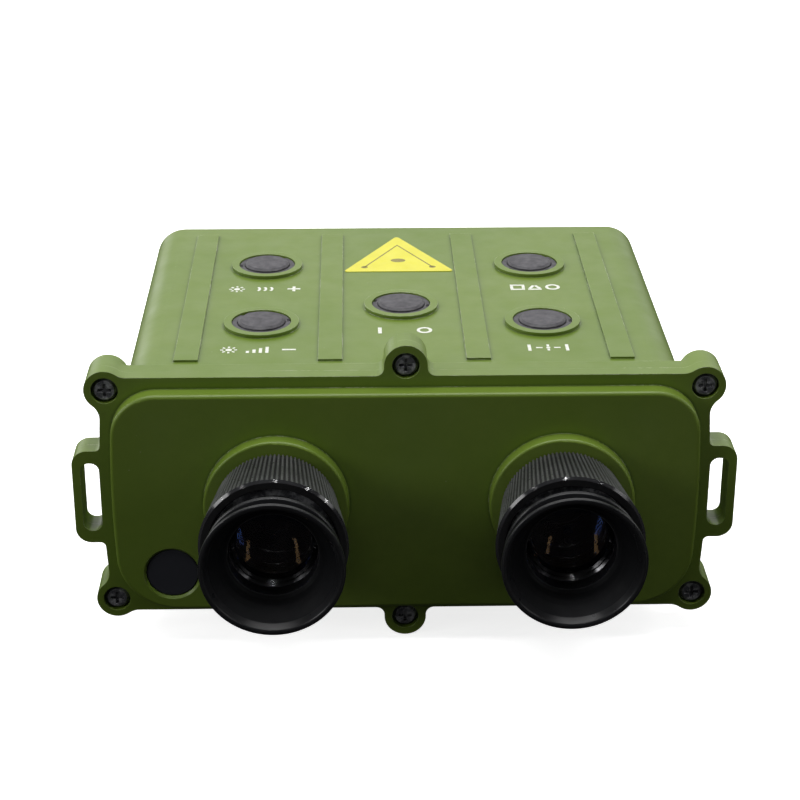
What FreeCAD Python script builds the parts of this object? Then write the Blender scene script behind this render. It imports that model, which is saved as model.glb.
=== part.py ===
"""Handheld binocular laser rangefinder: cast housing, rear cover with two eyepieces, five keys.

Frame: X to the user's right, Y forward towards the target, Z up, in millimetres. The origin is the
centre of the rear cover's flange face, midway between the four corner ears.
"""
import FreeCAD, Part
import Sketcher
import math
import os
import re

SIZES = {
    # Room around parts that fit into each other, and the depth by which joined features overlap
    "press_gap": 0.02, "fit_gap": 0.05, "seal_squeeze": 0.03, "overlap": 0.5,
    # Flange, shared by the cover and the housing
    "flange_width": 136.6, "flange_height": 59.5, "flange_bulge": 1.5, "cover_edge": 3.5,
    "housing_edge": 4.0, "ear_spacing_x": 135.4, "ear_spacing_z": 53.3, "ear_radius": 4.7,
    "ear_depth": 10.0, "ear_blend": 4.2, "lobe_spacing_z": 64.4, "lobe_radius": 4.9, "lobe_blend": 2.0,
    # Strap lugs on both ends of the flange
    "lug_reach": 152.4, "lug_height": 23.4, "lug_corner": 3.6, "lug_blend": 1.2,
    "strap_slot_inner": 140.0, "strap_slot_outer": 148.6, "strap_slot_height": 17.2, "strap_slot_corner": 2.0,
    # Cover screws, M3
    "screw_head_radius": 2.75, "screw_head_height": 1.6, "screw_shank_radius": 1.45, "screw_reach": 7.0,
    "screw_tip": 0.4, "counterbore_radius": 3.1, "counterbore_depth": 2.0, "cover_hole_radius": 1.6,
    "tapped_hole_radius": 1.5, "tapped_hole_end": 9.0, "cross_length": 3.2, "cross_width": 0.8,
    "cross_depth": 1.0,
    # Rear cover
    "panel_rise": 4.0, "panel_half_width": 65.8, "panel_top": 27.0, "panel_bottom": 27.5,
    "panel_bulge": 1.3, "panel_top_corner": 10.5, "panel_bottom_corner": 14.0, "panel_rounding": 0.9,
    "recess_half_width": 62.0, "recess_half_height": 25.2, "recess_corner": 8.0, "recess_floor": 1.0,
    "cover_boss_radius": 16.6, "cover_boss_face": 7.4, "inner_boss_depth": 2.0, "boss_rounding": 0.6,
    # Port in the rear cover
    "port_x": -54.0, "port_z": -18.0, "port_radius": 6.15, "port_chamfer": 0.5,
    "plug_radius": 6.07, "plug_face": 3.5, "plug_edge": 0.3, "plug_thickness": 2.0, "plug_stem_radius": 3.0,
    "plug_stem_end": 4.0, "socket_radius": 3.08, "connector_radius": 5.6, "connector_end": 12.0,
    "connector_flange_radius": 6.8, "connector_flange": 2.0,
    # Housing
    "housing_width": 129.0, "housing_height": 57.4, "housing_end": 105.0, "housing_corner": 7.6,
    "wall": 2.5, "end_wall": 3.5, "cavity_corner": 5.0, "end_rounding": 2.2,
    "rib_width": 5.6, "rib_height": 0.5, "rib_start": 11.4, "rib_end": 97.0,
    "inner_rib_x": 17.1, "outer_rib_x": 50.2,
    "seal_half_width": 64.1, "seal_half_height": 28.0, "seal_corner": 6.0, "seal_width": 1.3,
    "seal_depth": 0.9,
    # Tripod foot under the housing, with its bush and screws
    "foot_width": 46.0, "foot_near": 62.0, "foot_far": 98.0, "foot_bottom": 37.1, "foot_corner": 6.0,
    "foot_rounding": 0.8, "bush_y": 80.0, "bush_radius": 5.0, "bush_bore": 2.55, "bush_length": 7.6,
    "bush_flange_radius": 6.2, "bush_flange": 0.8,
    "foot_screw_x": 17.5, "foot_screw_near": 67.5, "foot_screw_far": 92.5, "foot_screw_head": 2.4,
    "foot_screw_shank": 1.2, "foot_screw_cone": 1.3, "foot_screw_sink": 0.2, "foot_screw_length": 10.0,
    "foot_screw_edge": 0.2, "foot_tap_depth": 2.1, "foot_cross_length": 2.4, "foot_cross_width": 0.6,
    "foot_cross_depth": 0.9,
    # Keys in the top face
    "key_x": 33.7, "key_far_y": 73.4, "key_near_y": 34.1, "power_key_y": 45.4,
    "key_collar_radius": 9.0, "key_collar_height": 0.9, "key_well_radius": 7.15, "key_well_floor": 27.0,
    "key_bore_radius": 3.0, "key_stem_radius": 2.92, "key_stem_end": 24.9, "key_skirt_radius": 6.5,
    "key_skirt_bottom": 27.9, "key_skirt_top": 28.3, "key_pad_radius": 5.6, "key_pad_top": 30.2,
    "key_pad_dome": 0.15, "key_pad_edge": 0.6, "key_ring_bore": 5.68, "key_ring_radius": 7.12,
    "key_ring_bottom": 28.5, "key_ring_top": 29.3, "key_ring_slot": 1.2, "key_ring_slot_depth": 0.4,
    "key_ring_slot_start": 6.3, "key_ring_edge": 0.2,
    # Electronics
    "board_margin": 4.0, "board_screw_head_height": 1.2, "plunger_radius": 1.7, "plunger_height": 0.6,
    "rail_half_height": 4.0,
    "key_board_bottom": 19.9, "key_board_top": 21.1, "switch_side": 6.0, "switch_top": 24.0,
    "post_radius": 2.6, "post_bore": 0.9, "post_x": 48.0, "post_near_y": 22.0, "post_far_y": 86.0,
    "board_screw_head": 1.9, "board_screw_shank": 0.85, "board_screw_reach": 24.0,
    "main_board_x": -56.6, "main_board_thickness": 1.6, "main_board_near": 17.0, "main_board_far": 68.0,
    "main_board_bottom": -21.0, "main_board_top": 17.5,
    # Eyepieces, distances along their axes are counted backwards from the flange face
    "eye_spacing": 65.0, "eye_offset_x": 3.0, "eye_z": 0.45, "left_eye_advance": 1.2,
    "sleeve_bore": 11.0, "sleeve_radius": 12.6, "sleeve_back": 24.2, "sleeve_front": -12.0,
    "sleeve_shoulder_radius": 14.4, "sleeve_shoulder_front": -5.0,
    "guide_slot_width": 2.1, "guide_slot_low": 10.9, "guide_slot_high": 17.1,
    "ring_small_radius": 13.9, "ring_large_radius": 16.5, "ring_low": 7.6, "ring_high": 26.3,
    "ring_chamfer": 0.5, "ring_counterbore": 14.3, "ring_counterbore_floor": 23.6,
    "ring_groove_radius": 13.4, "ring_groove_low": 10.4, "ring_groove_high": 17.6,
    "keeper_radius": 13.8, "keeper_low": 23.75, "keeper_high": 24.75, "keeper_groove_radius": 12.1,
    "keeper_inner": 12.15,
    "barrel_radius": 10.95, "barrel_bore": 9.9, "barrel_front": -8.0, "barrel_stop_radius": 8.4,
    "barrel_head_radius": 12.6, "barrel_head_low": 27.2, "barrel_head_face": 28.1,
    "barrel_collar_inner": 11.9, "barrel_collar_end": 30.4, "barrel_seal_low": 5.0, "barrel_seal_high": 6.2,
    "barrel_seal_depth": 0.7,
    "pin_radius": 1.0, "pin_inner": 10.0, "pin_outer": 13.3, "pin_station": 14.0,
    "eye_lens_low": 19.4, "eye_lens_high": 22.6, "eye_lens_radius": 9.85, "eye_lens_curve": 56.0,
    "lens_ring_high": 24.8, "lens_ring_bore": 8.7, "lens_ring_mouth": 9.6, "lens_ring_slope": 23.2,
    "lens_ring_slot": 1.4, "lens_ring_slot_depth": 0.8,
    "field_lens_radius": 9.8, "field_lens_low": -7.4, "field_lens_high": -4.4, "field_lens_curve": 62.0,
    "cup_low": 28.6, "cup_neck_radius": 13.6, "cup_bead_radius": 15.0, "cup_bead_low": 29.5,
    "cup_bead_high": 30.65, "cup_waist_radius": 13.6, "cup_waist": 32.1, "cup_rim_radius": 15.85,
    "cup_rim_low": 34.7, "cup_rim": 35.5, "cup_mouth_radius": 14.8, "cup_throat_radius": 10.05,
    "cup_throat": 28.1, "cup_edge": 0.4, "lens_clearance": 0.1,
    # Prisms and their holders
    "prism_width": 24.0, "prism_near": 20.0, "prism_far": 56.0, "prism_half_height": 13.0,
    "prism_cut": 9.0, "holder_wall": 2.0, "holder_gap": 0.15, "holder_top": 14.0, "holder_window": 10.0,
    # Objectives, transmitter and battery, distances along Y
    "objective_radius": 17.5, "objective_bore": 15.6, "objective_near": 70.0, "bezel_radius": 18.7,
    "bezel_end": 109.0, "objective_stop": 13.8, "objective_lens_near": 98.0, "objective_lens_far": 103.0,
    "objective_lens_radius": 15.5, "objective_curve": 75.0, "objective_ring_far": 105.6,
    "objective_ring_bore": 14.3, "objective_ring_slope": 0.8, "bezel_edge": 0.6, "bezel_slope": 1.2,
    "window_z": 11.0, "emitter_radius": 7.4, "emitter_bore": 6.4, "emitter_stop": 5.6, "emitter_near": 62.0,
    "emitter_bezel_radius": 8.4, "emitter_bezel_end": 107.4, "emitter_lens_near": 99.0,
    "emitter_lens_far": 102.5, "emitter_lens_radius": 6.3, "emitter_curve": 24.0, "emitter_edge": 0.5,
    "diode_radius": 4.5, "diode_step": 1.5, "diode_near": 56.0, "diode_flange_end": 64.0,
    "diode_window_end": 66.5,
    "battery_z": -12.0, "battery_tube_radius": 11.2, "battery_tube_bore": 9.6, "battery_tube_near": 27.0,
    "battery_tube_floor": 29.0, "battery_near": 33.6, "battery_far": 98.0, "battery_radius": 9.1,
    "battery_nub_radius": 3.0, "battery_nub": 1.2, "contact_radius": 6.0, "contact_thickness": 1.0,
    "cap_radius": 11.4, "cap_near": 105.1, "cap_end": 110.6, "cap_edge": 0.6, "cap_plug_radius": 9.52,
    "cap_plug_end": 99.6,
    "cap_seal_near": 101.0, "cap_seal_far": 102.4, "cap_seal_depth": 1.0, "coin_slot_width": 2.2,
    "coin_slot_depth": 1.4, "coin_slot_length": 15.0,
    # Receiver and display modules beside the prisms
    "receiver_radius": 4.2, "receiver_outer": 54.4, "receiver_y": 38.0,
    "display_thickness": 4.0, "display_height": 14.0, "display_near": 30.0, "display_far": 46.0,
    # Triangular sticker
    "sticker_width": 28.4, "sticker_near": 69.3, "sticker_far": 95.9, "sticker_thickness": 0.15,
    "sticker_corner": 0.7,
}
RIGHT, LEFT = 1, -1
SIDE_NAMES = {LEFT: "left", RIGHT: "right"}

doc = FreeCAD.newDocument("rangefinder")


def make_sheet():
    """The spreadsheet of driving dimensions, one aliased plain number per row."""
    sheet = doc.addObject("Spreadsheet::Sheet", "Sizes")
    for row, (alias, value) in enumerate(SIZES.items(), start=1):
        sheet.set("A%d" % row, alias)
        sheet.set("B%d" % row, str(value))
        sheet.setAlias("B%d" % row, alias)
    doc.recompute()
    return sheet


sheet = make_sheet()


def size(alias):
    """The sheet's value of one alias."""
    return float(sheet.get(alias))


def bound(text):
    """An expression with each alias pointed at the sheet."""
    return re.sub(r"[a-z_]+", lambda word: "Sizes." + word[0] if word[0] in SIZES else word[0], str(text))


def bind(thing, prop, text):
    thing.setExpression(prop, bound(text))


def new_body(label):
    body = doc.addObject("PartDesign::Body", label)
    body.Label = label
    return body


def origin_plane(body, role):
    return [item for item in body.Origin.OriginFeatures if item.Role == role][0]


def new_sketch(body, role, offset="0"):
    """A sketch on one of the body's origin planes, moved along the plane's normal."""
    sketch = body.newObject("Sketcher::SketchObject", "Sketch")
    sketch.AttachmentSupport = [(origin_plane(body, role), "")]
    sketch.MapMode = "FlatFace"
    bind(sketch, "AttachmentOffset.Base.z", offset)
    return sketch


def pin_point(sketch, geometry, point, start, across, up):
    """Hold one sketch point, drawn at start, at (across, up), two expressions."""
    axes = (("DistanceX", across, start.x, -2), ("DistanceY", up, start.y, -1))
    for kind, text, first, zero_axis in axes:
        if str(text) == "0":
            sketch.addConstraint(Sketcher.Constraint("PointOnObject", geometry, point, zero_axis))
            continue
        index = sketch.addConstraint(Sketcher.Constraint(kind, -1, 1, geometry, point, first))
        bind(sketch, "Constraints[%d]" % index, text)


def draw_polygon(sketch, corners):
    """A closed polygon; it starts as a regular one and the constraints take each corner to its place."""
    count = len(corners)
    first = sketch.GeometryCount
    start = [regular_corner(i, count) for i in range(count)]
    for i in range(count):
        sketch.addGeometry(Part.LineSegment(start[i], start[(i + 1) % count]), False)
    for i in range(count):
        line = first + i
        sketch.addConstraint(Sketcher.Constraint("Coincident", line, 2, first + (i + 1) % count, 1))
        pin_point(sketch, line, 1, start[i], *corners[i])


def regular_corner(index, count, radius=7.0, offset=0.37):
    """A corner of the starting polygon, turned so that no coordinate is zero."""
    angle = 2 * math.pi * (index + offset) / count
    return FreeCAD.Vector(radius * math.cos(angle), radius * math.sin(angle), 0)


def draw_rectangle(sketch, left, right, low, high):
    draw_polygon(sketch, [(left, low), (right, low), (right, high), (left, high)])


def draw_circle(sketch, across, up, radius):
    start = FreeCAD.Vector(1, 1, 0)
    index = sketch.addGeometry(Part.Circle(start, FreeCAD.Vector(0, 0, 1), 2.0), False)
    pin_point(sketch, index, 3, start, across, up)
    constraint = sketch.addConstraint(Sketcher.Constraint("Radius", index, 2.0))
    bind(sketch, "Constraints[%d]" % constraint, radius)


NORMAL_SIGN = {"XY_Plane": 1, "XZ_Plane": -1, "YZ_Plane": 1}


def extrude(body, kind, role, low, high, draw, *drawings):
    """Pad or pocket drawings between two coordinates along the world axis that the plane faces."""
    forward = NORMAL_SIGN[role] > 0
    start = low if (kind == "Pad") == forward else high
    sketch = new_sketch(body, role, start if forward else "-(%s)" % start)
    for drawing in drawings:
        draw(sketch, *drawing)
    feature = body.newObject("PartDesign::" + kind, kind)
    feature.Profile = sketch
    bind(feature, "Length", "(%s)-(%s)" % (high, low))
    doc.recompute()
    return feature


def pad(body, role, low, high, draw, *drawings):
    return extrude(body, "Pad", role, low, high, draw, *drawings)


def pocket(body, role, low, high, draw, *drawings):
    """A pocket that has to take material away."""
    before = body.Shape.Volume
    feature = extrude(body, "Pocket", role, low, high, draw, *drawings)
    if body.Shape.Volume >= before - 1e-6:
        raise RuntimeError("a pocket in %s cuts nothing" % body.Label)
    return feature


def dress(body, kind, prop, amount, chosen):
    """Fillet or chamfer the edges of the body's tip for which chosen(edge) holds."""
    base = body.Tip
    names = ["Edge%d" % (i + 1) for i, edge in enumerate(base.Shape.Edges) if chosen(edge)]
    if not names:
        raise RuntimeError("no edge to dress in %s" % body.Label)
    feature = body.newObject("PartDesign::" + kind, kind)
    feature.Base = (base, names)
    bind(feature, prop, amount)
    doc.recompute()
    if not feature.Shape.isValid() or feature.Shape.isNull():
        raise RuntimeError("%s failed in %s" % (kind, body.Label))
    return feature


def fillet(body, radius, chosen):
    return dress(body, "Fillet", "Radius", radius, chosen)


def chamfer(body, length, chosen):
    return dress(body, "Chamfer", "Size", length, chosen)


def runs_along(edge, axis):
    """True for a straight edge parallel to the world axis."""
    if edge.Curve.TypeId != "Part::GeomLine":
        return False
    return abs(abs(edge.Curve.Direction.dot(axis)) - 1) < 1e-6


def near_any(edge, places, axes, reach=0.4):
    """True when the edge's middle is at one of the places, given by two of its coordinates."""
    middle = edge.CenterOfMass
    here = [getattr(middle, axis) for axis in axes]
    return any(math.dist(here, place) < reach for place in places)


def turned(label, profile, axis_point=(0, 0, 0), facing="back"):
    """A solid of revolution; the profile lists (radius, station) along its axis.

    Facing back, stations count towards the user's eye; facing front, towards the target.
    """
    body = new_body(label)
    sketch = new_sketch(body, "XZ_Plane")
    draw_polygon(sketch, profile)
    feature = body.newObject("PartDesign::Revolution", "Revolution")
    feature.Profile = sketch
    feature.ReferenceAxis = (sketch, ["V_Axis"])
    feature.Angle = 360
    place(body, axis_point, facing)
    doc.recompute()
    return body


def place(body, axis_point, facing):
    turn = {"back": 90, "front": -90, "up": 0}[facing]
    body.Placement.Rotation = FreeCAD.Rotation(FreeCAD.Vector(1, 0, 0), turn)
    for axis, text in zip("xyz", axis_point):
        bind(body, "Placement.Base." + axis, text)


def box(label, x, y, z):
    """A Part::Box between pairs of expressions."""
    block = doc.addObject("Part::Box", label)
    block.Label = label
    for prop, axis, (low, high) in (("Length", "x", x), ("Width", "y", y), ("Height", "z", z)):
        bind(block, prop, "(%s)-(%s)" % (high, low))
        bind(block, "Placement.Base." + axis, low)
    return block


def group(label, shapes):
    """Identical pieces as the separate solids of one node."""
    feature = doc.addObject("Part::Feature", label)
    feature.Label = label
    feature.Shape = Part.makeCompound(shapes)
    return feature


def copies(template, places):
    """The template's shape moved by each vector."""
    shapes = []
    for move in places:
        shape = template.Shape.copy()
        shape.translate(FreeCAD.Vector(*move))
        shapes.append(shape)
    return shapes


# --- Flange outline shared by the two castings ---------------------------------------------------

Y_AXIS = FreeCAD.Vector(0, 1, 0)
Z_AXIS = FreeCAD.Vector(0, 0, 1)
LEVEL_REACH = 1e-4
EAR_X, EAR_Z = "ear_spacing_x/2", "ear_spacing_z/2"
LOBE_Z = "lobe_spacing_z/2"
CORNERS = [(sx, sz) for sx in ("", "-") for sz in ("", "-")]


def add_flange(body, near, far, ear_far):
    """Plate with bowed ends, four ears, two centre lobes and two strap lugs, blended together."""
    half_height = size("flange_height") / 2
    half_width = size("flange_width") / 2
    sketch = new_sketch(body, "XZ_Plane", "-(%s)" % far)
    draw_flange_plate(sketch)
    plate = body.newObject("PartDesign::Pad", "Pad")
    plate.Profile = sketch
    bind(plate, "Length", "(%s)-(%s)" % (far, near))
    doc.recompute()
    ears = [(sx + EAR_X, sz + EAR_Z, "ear_radius") for sx, sz in CORNERS]
    pad(body, "XZ_Plane", near, far, draw_circle, *ears)
    lobes = [("0", sz + LOBE_Z, "lobe_radius") for sz in ("", "-")]
    pad(body, "XZ_Plane", near, far, draw_circle, *lobes)
    reach, height = "lug_reach/2", "lug_height/2"
    root = "(flange_width/2-overlap)"
    lugs = [(root, reach, "-" + height, height), ("-" + reach, "-" + root, "-" + height, height)]
    pad(body, "XZ_Plane", near, far, draw_rectangle, *lugs)

    ear_drop = half_height - size("ear_spacing_z") / 2
    ear_x, ear_z, ear_r = size("ear_spacing_x") / 2, size("ear_spacing_z") / 2, size("ear_radius")
    top_joint = (ear_x - math.sqrt(ear_r ** 2 - ear_drop ** 2), half_height)
    side_joint = (half_width + 0.3, ear_z - ear_r)
    joints = mirrored([top_joint, side_joint])
    fillet(body, "ear_blend", lambda edge: runs_along(edge, Y_AXIS) and near_any(edge, joints, "xz", 0.8))
    lobe_drop = size("lobe_spacing_z") / 2 - half_height
    lobe_joint = mirrored([(math.sqrt(size("lobe_radius") ** 2 - lobe_drop ** 2), half_height)])
    fillet(body, "lobe_blend", lambda edge: runs_along(edge, Y_AXIS) and near_any(edge, lobe_joint, "xz"))
    tips = mirrored([(size("lug_reach") / 2, size("lug_height") / 2)])
    fillet(body, "lug_corner", lambda edge: runs_along(edge, Y_AXIS) and near_any(edge, tips, "xz"))
    roots = mirrored([(half_width + size("flange_bulge") - 0.2, size("lug_height") / 2)])
    fillet(body, "lug_blend", lambda edge: runs_along(edge, Y_AXIS) and near_any(edge, roots, "xz", 0.6))
    if ear_far != far:
        pad(body, "XZ_Plane", near, ear_far, draw_circle, *ears)


def draw_flange_plate(sketch):
    half = size("flange_height") / 2
    draw_bowed_plate(sketch, size("flange_width") / 2, -half, half, size("flange_bulge"))


def draw_rounded(sketch, half_width, half_height, corner):
    """A rectangle about the origin with rounded corners."""
    first = sketch.GeometryCount
    up = FreeCAD.Vector(0, 0, 1)
    x, z = half_width - corner, half_height - corner
    centres = [(x, z), (-x, z), (-x, -z), (x, -z)]
    for quarter, (cx, cz) in enumerate(centres):
        start = quarter * math.pi / 2
        circle = Part.Circle(FreeCAD.Vector(cx, cz, 0), up, corner)
        arc = Part.ArcOfCircle(circle, start, start + math.pi / 2)
        sketch.addGeometry(arc, False)
        nx, nz = centres[(quarter + 1) % 4]
        dx, dz = corner * math.cos(start + math.pi / 2), corner * math.sin(start + math.pi / 2)
        sketch.addGeometry(Part.LineSegment(arc.EndPoint, FreeCAD.Vector(nx + dx, nz + dz, 0)), False)
    for index in range(first, sketch.GeometryCount):
        sketch.addConstraint(Sketcher.Constraint("Block", index))


def draw_bowed_plate(sketch, half_width, low, high, bulge):
    """A rectangle about X = 0 whose two ends bow outwards by the bulge."""
    rise = (high - low) / 2
    radius = (rise ** 2 + bulge ** 2) / (2 * bulge)
    middle = (high + low) / 2
    centre = half_width + bulge - radius
    half_turn = math.asin(rise / radius)
    up = FreeCAD.Vector(0, 0, 1)
    right_circle = Part.Circle(FreeCAD.Vector(centre, middle, 0), up, radius)
    left_circle = Part.Circle(FreeCAD.Vector(-centre, middle, 0), up, radius)
    low_left, low_right = FreeCAD.Vector(-half_width, low, 0), FreeCAD.Vector(half_width, low, 0)
    high_left, high_right = FreeCAD.Vector(-half_width, high, 0), FreeCAD.Vector(half_width, high, 0)
    sketch.addGeometry(Part.LineSegment(low_left, low_right), False)
    sketch.addGeometry(Part.ArcOfCircle(right_circle, -half_turn, half_turn), False)
    sketch.addGeometry(Part.LineSegment(high_right, high_left), False)
    sketch.addGeometry(Part.ArcOfCircle(left_circle, math.pi - half_turn, math.pi + half_turn), False)
    for i in range(4):
        sketch.addConstraint(Sketcher.Constraint("Block", i))


def mirrored(places):
    """The places and their mirror images about both axes."""
    return [(sx * x, sz * z) for x, z in places for sx in (1, -1) for sz in (1, -1)]


def cut_strap_slots(body, near, far):
    inner, outer, half = "strap_slot_inner/2", "strap_slot_outer/2", "strap_slot_height/2"
    slots = [(inner, outer, "-" + half, half), ("-" + outer, "-" + inner, "-" + half, half)]
    pocket(body, "XZ_Plane", near, far, draw_rectangle, *slots)
    edges_x = (size("strap_slot_inner") / 2, size("strap_slot_outer") / 2)
    corners = mirrored([(x, size("strap_slot_height") / 2) for x in edges_x])
    fillet(body, "strap_slot_corner", lambda edge: runs_along(edge, Y_AXIS) and near_any(edge, corners, "xz"))


# --- Castings -------------------------------------------------------------------------------------

SCREW_PLACES = [(sx + EAR_X, sz + EAR_Z) for sx, sz in CORNERS] + [("0", LOBE_Z), ("0", "-" + LOBE_Z)]
EYE_X = {side: "eye_offset_x%+d*eye_spacing/2" % side for side in (LEFT, RIGHT)}


def rear_cover():
    """Flange plate with the raised panel, the two eyepiece bosses and the port hole."""
    body = new_body("rear_cover")
    add_flange(body, "0", "cover_edge", "cover_edge")
    sketch = new_sketch(body, "XZ_Plane", "-overlap")
    half, top, bottom = size("panel_half_width"), size("panel_top"), -size("panel_bottom")
    draw_bowed_plate(sketch, half, bottom, top, size("panel_bulge"))
    panel = body.newObject("PartDesign::Pad", "Pad")
    panel.Profile = sketch
    bind(panel, "Length", "panel_rise+overlap")
    doc.recompute()
    for radius, level in (("panel_top_corner", top), ("panel_bottom_corner", bottom)):
        corners = [(side * half, level) for side in (LEFT, RIGHT)]
        fillet(body, radius, lambda edge: runs_along(edge, Y_AXIS) and near_any(edge, corners, "xz"))
    face_y = -size("panel_rise")
    fillet(body, "panel_rounding", lambda edge: lies_on_face(edge, face_y))
    bosses = [(EYE_X[side], "eye_z", "cover_boss_radius") for side in (LEFT, RIGHT)]
    pad(body, "XZ_Plane", "-cover_boss_face", "-panel_rise+overlap", draw_circle, *bosses)
    boss_y = -size("cover_boss_face")
    fillet(body, "boss_rounding", lambda edge: lies_on_face(edge, boss_y))
    hollow = (size("recess_half_width"), size("recess_half_height"), size("recess_corner"))
    pocket(body, "XZ_Plane", "-recess_floor", "cover_edge", draw_rounded, hollow)
    pad(body, "XZ_Plane", "-panel_rise+overlap", "inner_boss_depth", draw_circle, *bosses)
    bores = [(EYE_X[side], "eye_z", "sleeve_radius+press_gap") for side in (LEFT, RIGHT)]
    pocket(body, "XZ_Plane", "-cover_boss_face", "inner_boss_depth", draw_circle, *bores)
    pocket(body, "XZ_Plane", "-panel_rise", "-recess_floor", draw_circle, ("port_x", "port_z", "port_radius"))
    mouth = [(size("port_x"), size("port_z"))]
    chamfer(body, "port_chamfer", lambda edge: lies_on_face(edge, face_y) and near_any(edge, mouth, "xz"))
    holes = [(x, z, "cover_hole_radius") for x, z in SCREW_PLACES]
    pocket(body, "XZ_Plane", "0", "cover_edge", draw_circle, *holes)
    sinks = [(x, z, "counterbore_radius") for x, z in SCREW_PLACES]
    pocket(body, "XZ_Plane", "-panel_rise-overlap", "counterbore_depth", draw_circle, *sinks)
    cut_strap_slots(body, "0", "cover_edge")
    return body


def lies_on_face(edge, level):
    """True when the whole edge lies in the plane Y = level."""
    places = [vertex.Y for vertex in edge.Vertexes] + [edge.CenterOfMass.y]
    return all(abs(place - level) < LEVEL_REACH for place in places)


KEYS = {
    "strobe_key": ("-key_x", "key_far_y"), "light_key": ("-key_x", "key_near_y"),
    "power_key": ("0", "power_key_y"), "mode_key": ("key_x", "key_far_y"),
    "measure_key": ("key_x", "key_near_y"),
}
TOP = "housing_height/2"
BATTERY_X = "eye_offset_x"
POSTS = [(sx + "post_x", y) for sx in ("", "-") for y in ("post_near_y", "post_far_y")]
FOOT_SCREWS = [(sx + "foot_screw_x", y) for sx in ("", "-") for y in ("foot_screw_near", "foot_screw_far")]


def main_housing():
    """Cast box, open towards the user, with its flange, ribs, key collars and bores."""
    body = new_body("main_housing")
    far_face = "cover_edge+housing_edge"
    block = ("-housing_width/2", "housing_width/2", "-housing_height/2", TOP)
    pad(body, "XZ_Plane", "cover_edge", "housing_end", draw_rectangle, block)
    corner = mirrored([(size("housing_width") / 2, size("housing_height") / 2)])
    fillet(body, "housing_corner", lambda edge: runs_along(edge, Y_AXIS) and near_any(edge, corner, "xz"))
    end = size("housing_end")
    fillet(body, "end_rounding", lambda edge: lies_on_face(edge, end))
    add_flange(body, "cover_edge", far_face, "ear_depth")
    ribs = []
    for centre in ("inner_rib_x", "outer_rib_x"):
        for sign in ("", "-"):
            middle = sign + centre
            ribs.append((middle + "-rib_width/2", middle + "+rib_width/2", "rib_start", "rib_end"))
    pad(body, "XY_Plane", TOP + "-overlap", TOP + "+rib_height", draw_rectangle, *ribs)
    collars = [(x, y, "key_collar_radius") for x, y in KEYS.values()]
    pad(body, "XY_Plane", TOP + "-overlap", TOP + "+key_collar_height", draw_circle, *collars)

    cavity = ("-housing_width/2+wall", "housing_width/2-wall", "-housing_height/2+wall", TOP + "-wall")
    pocket(body, "XZ_Plane", "cover_edge", "housing_end-end_wall", draw_rectangle, cavity)
    inner = mirrored([(size("housing_width") / 2 - size("wall"), size("housing_height") / 2 - size("wall"))])
    fillet(body, "cavity_corner", lambda edge: runs_along(edge, Y_AXIS) and near_any(edge, inner, "xz"))
    wells = [(x, y, "key_well_radius") for x, y in KEYS.values()]
    pocket(body, "XY_Plane", "key_well_floor", TOP + "+key_collar_height", draw_circle, *wells)
    stems = [(x, y, "key_bore_radius") for x, y in KEYS.values()]
    pocket(body, "XY_Plane", TOP + "-wall", "key_well_floor", draw_circle, *stems)
    posts = [(x, y, "post_radius") for x, y in POSTS]
    pad(body, "XY_Plane", "key_board_top", TOP + "-wall+overlap", draw_circle, *posts)
    taps = [(x, y, "post_bore") for x, y in POSTS]
    pocket(body, "XY_Plane", "key_board_top", "board_screw_reach+overlap", draw_circle, *taps)
    bores = [(EYE_X[side], "eye_z", "objective_radius+press_gap") for side in (LEFT, RIGHT)]
    bores.append((BATTERY_X, "window_z", "emitter_radius+press_gap"))
    bores.append((BATTERY_X, "battery_z", "battery_tube_radius+press_gap"))
    pocket(body, "XZ_Plane", "housing_end-end_wall", "housing_end", draw_circle, *bores)
    taps = [(x, y, "foot_screw_shank+fit_gap") for x, y in FOOT_SCREWS]
    pocket(body, "XY_Plane", "-housing_height/2", "-housing_height/2+foot_tap_depth", draw_circle, *taps)
    holes = [(x, z, "tapped_hole_radius") for x, z in SCREW_PLACES]
    pocket(body, "XZ_Plane", "cover_edge", "tapped_hole_end", draw_circle, *holes)
    cut_strap_slots(body, "cover_edge", far_face)
    cut_seal_groove(body)
    return body


def seal_outlines(margin):
    """Outer and inner rounded rectangles of the seal, each moved outwards by the margin."""
    step = size("seal_width") / 2 + margin
    return [
        (size("seal_half_width") + move, size("seal_half_height") + move, size("seal_corner") + move)
        for move in (step, -step)
    ]


def cover_seal():
    """Rubber cord that follows the flange just outside the cavity."""
    body = new_body("cover_seal")
    pad(body, "XZ_Plane", "cover_edge", "cover_edge+seal_depth", draw_rounded, *seal_outlines(0.0))
    return body


def cut_seal_groove(body):
    """The groove follows the seal with a little room on each side."""
    pocket(body, "XZ_Plane", "cover_edge", "cover_edge+seal_depth", draw_rounded, *seal_outlines(0.05))


# --- Screws, bush and sticker ---------------------------------------------------------------------

def screw_template():
    """One M3 pan screw with a cross recess, its head's back face at the origin plane."""
    top = "screw_head_height-counterbore_depth"
    profile = [
        ("0", top), ("screw_head_radius*4/5", top),
        ("screw_head_radius", "screw_head_height*3/5-counterbore_depth"),
        ("screw_head_radius", "-counterbore_depth"), ("screw_shank_radius", "-counterbore_depth"),
        ("screw_shank_radius", "screw_tip-screw_reach"), ("screw_shank_radius-screw_tip", "-screw_reach"),
        ("0", "-screw_reach"),
    ]
    body = turned("screw_template", profile)
    arm, half = "cross_length/2", "cross_width/2"
    for wide, tall in ((arm, half), (half, arm)):
        recess = ("-" + wide, wide, "-" + tall, tall)
        pocket(body, "XY_Plane", top + "-cross_depth", top, draw_rectangle, recess)
    return body


def cover_screws():
    ear = (size("ear_spacing_x") / 2, size("ear_spacing_z") / 2)
    places = [(x, 0, z) for x, z in mirrored([ear])]
    places += [(0, 0, side * size("lobe_spacing_z") / 2) for side in (1, -1)]
    return group("cover_screws", copies(screw_template(), places))


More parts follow.
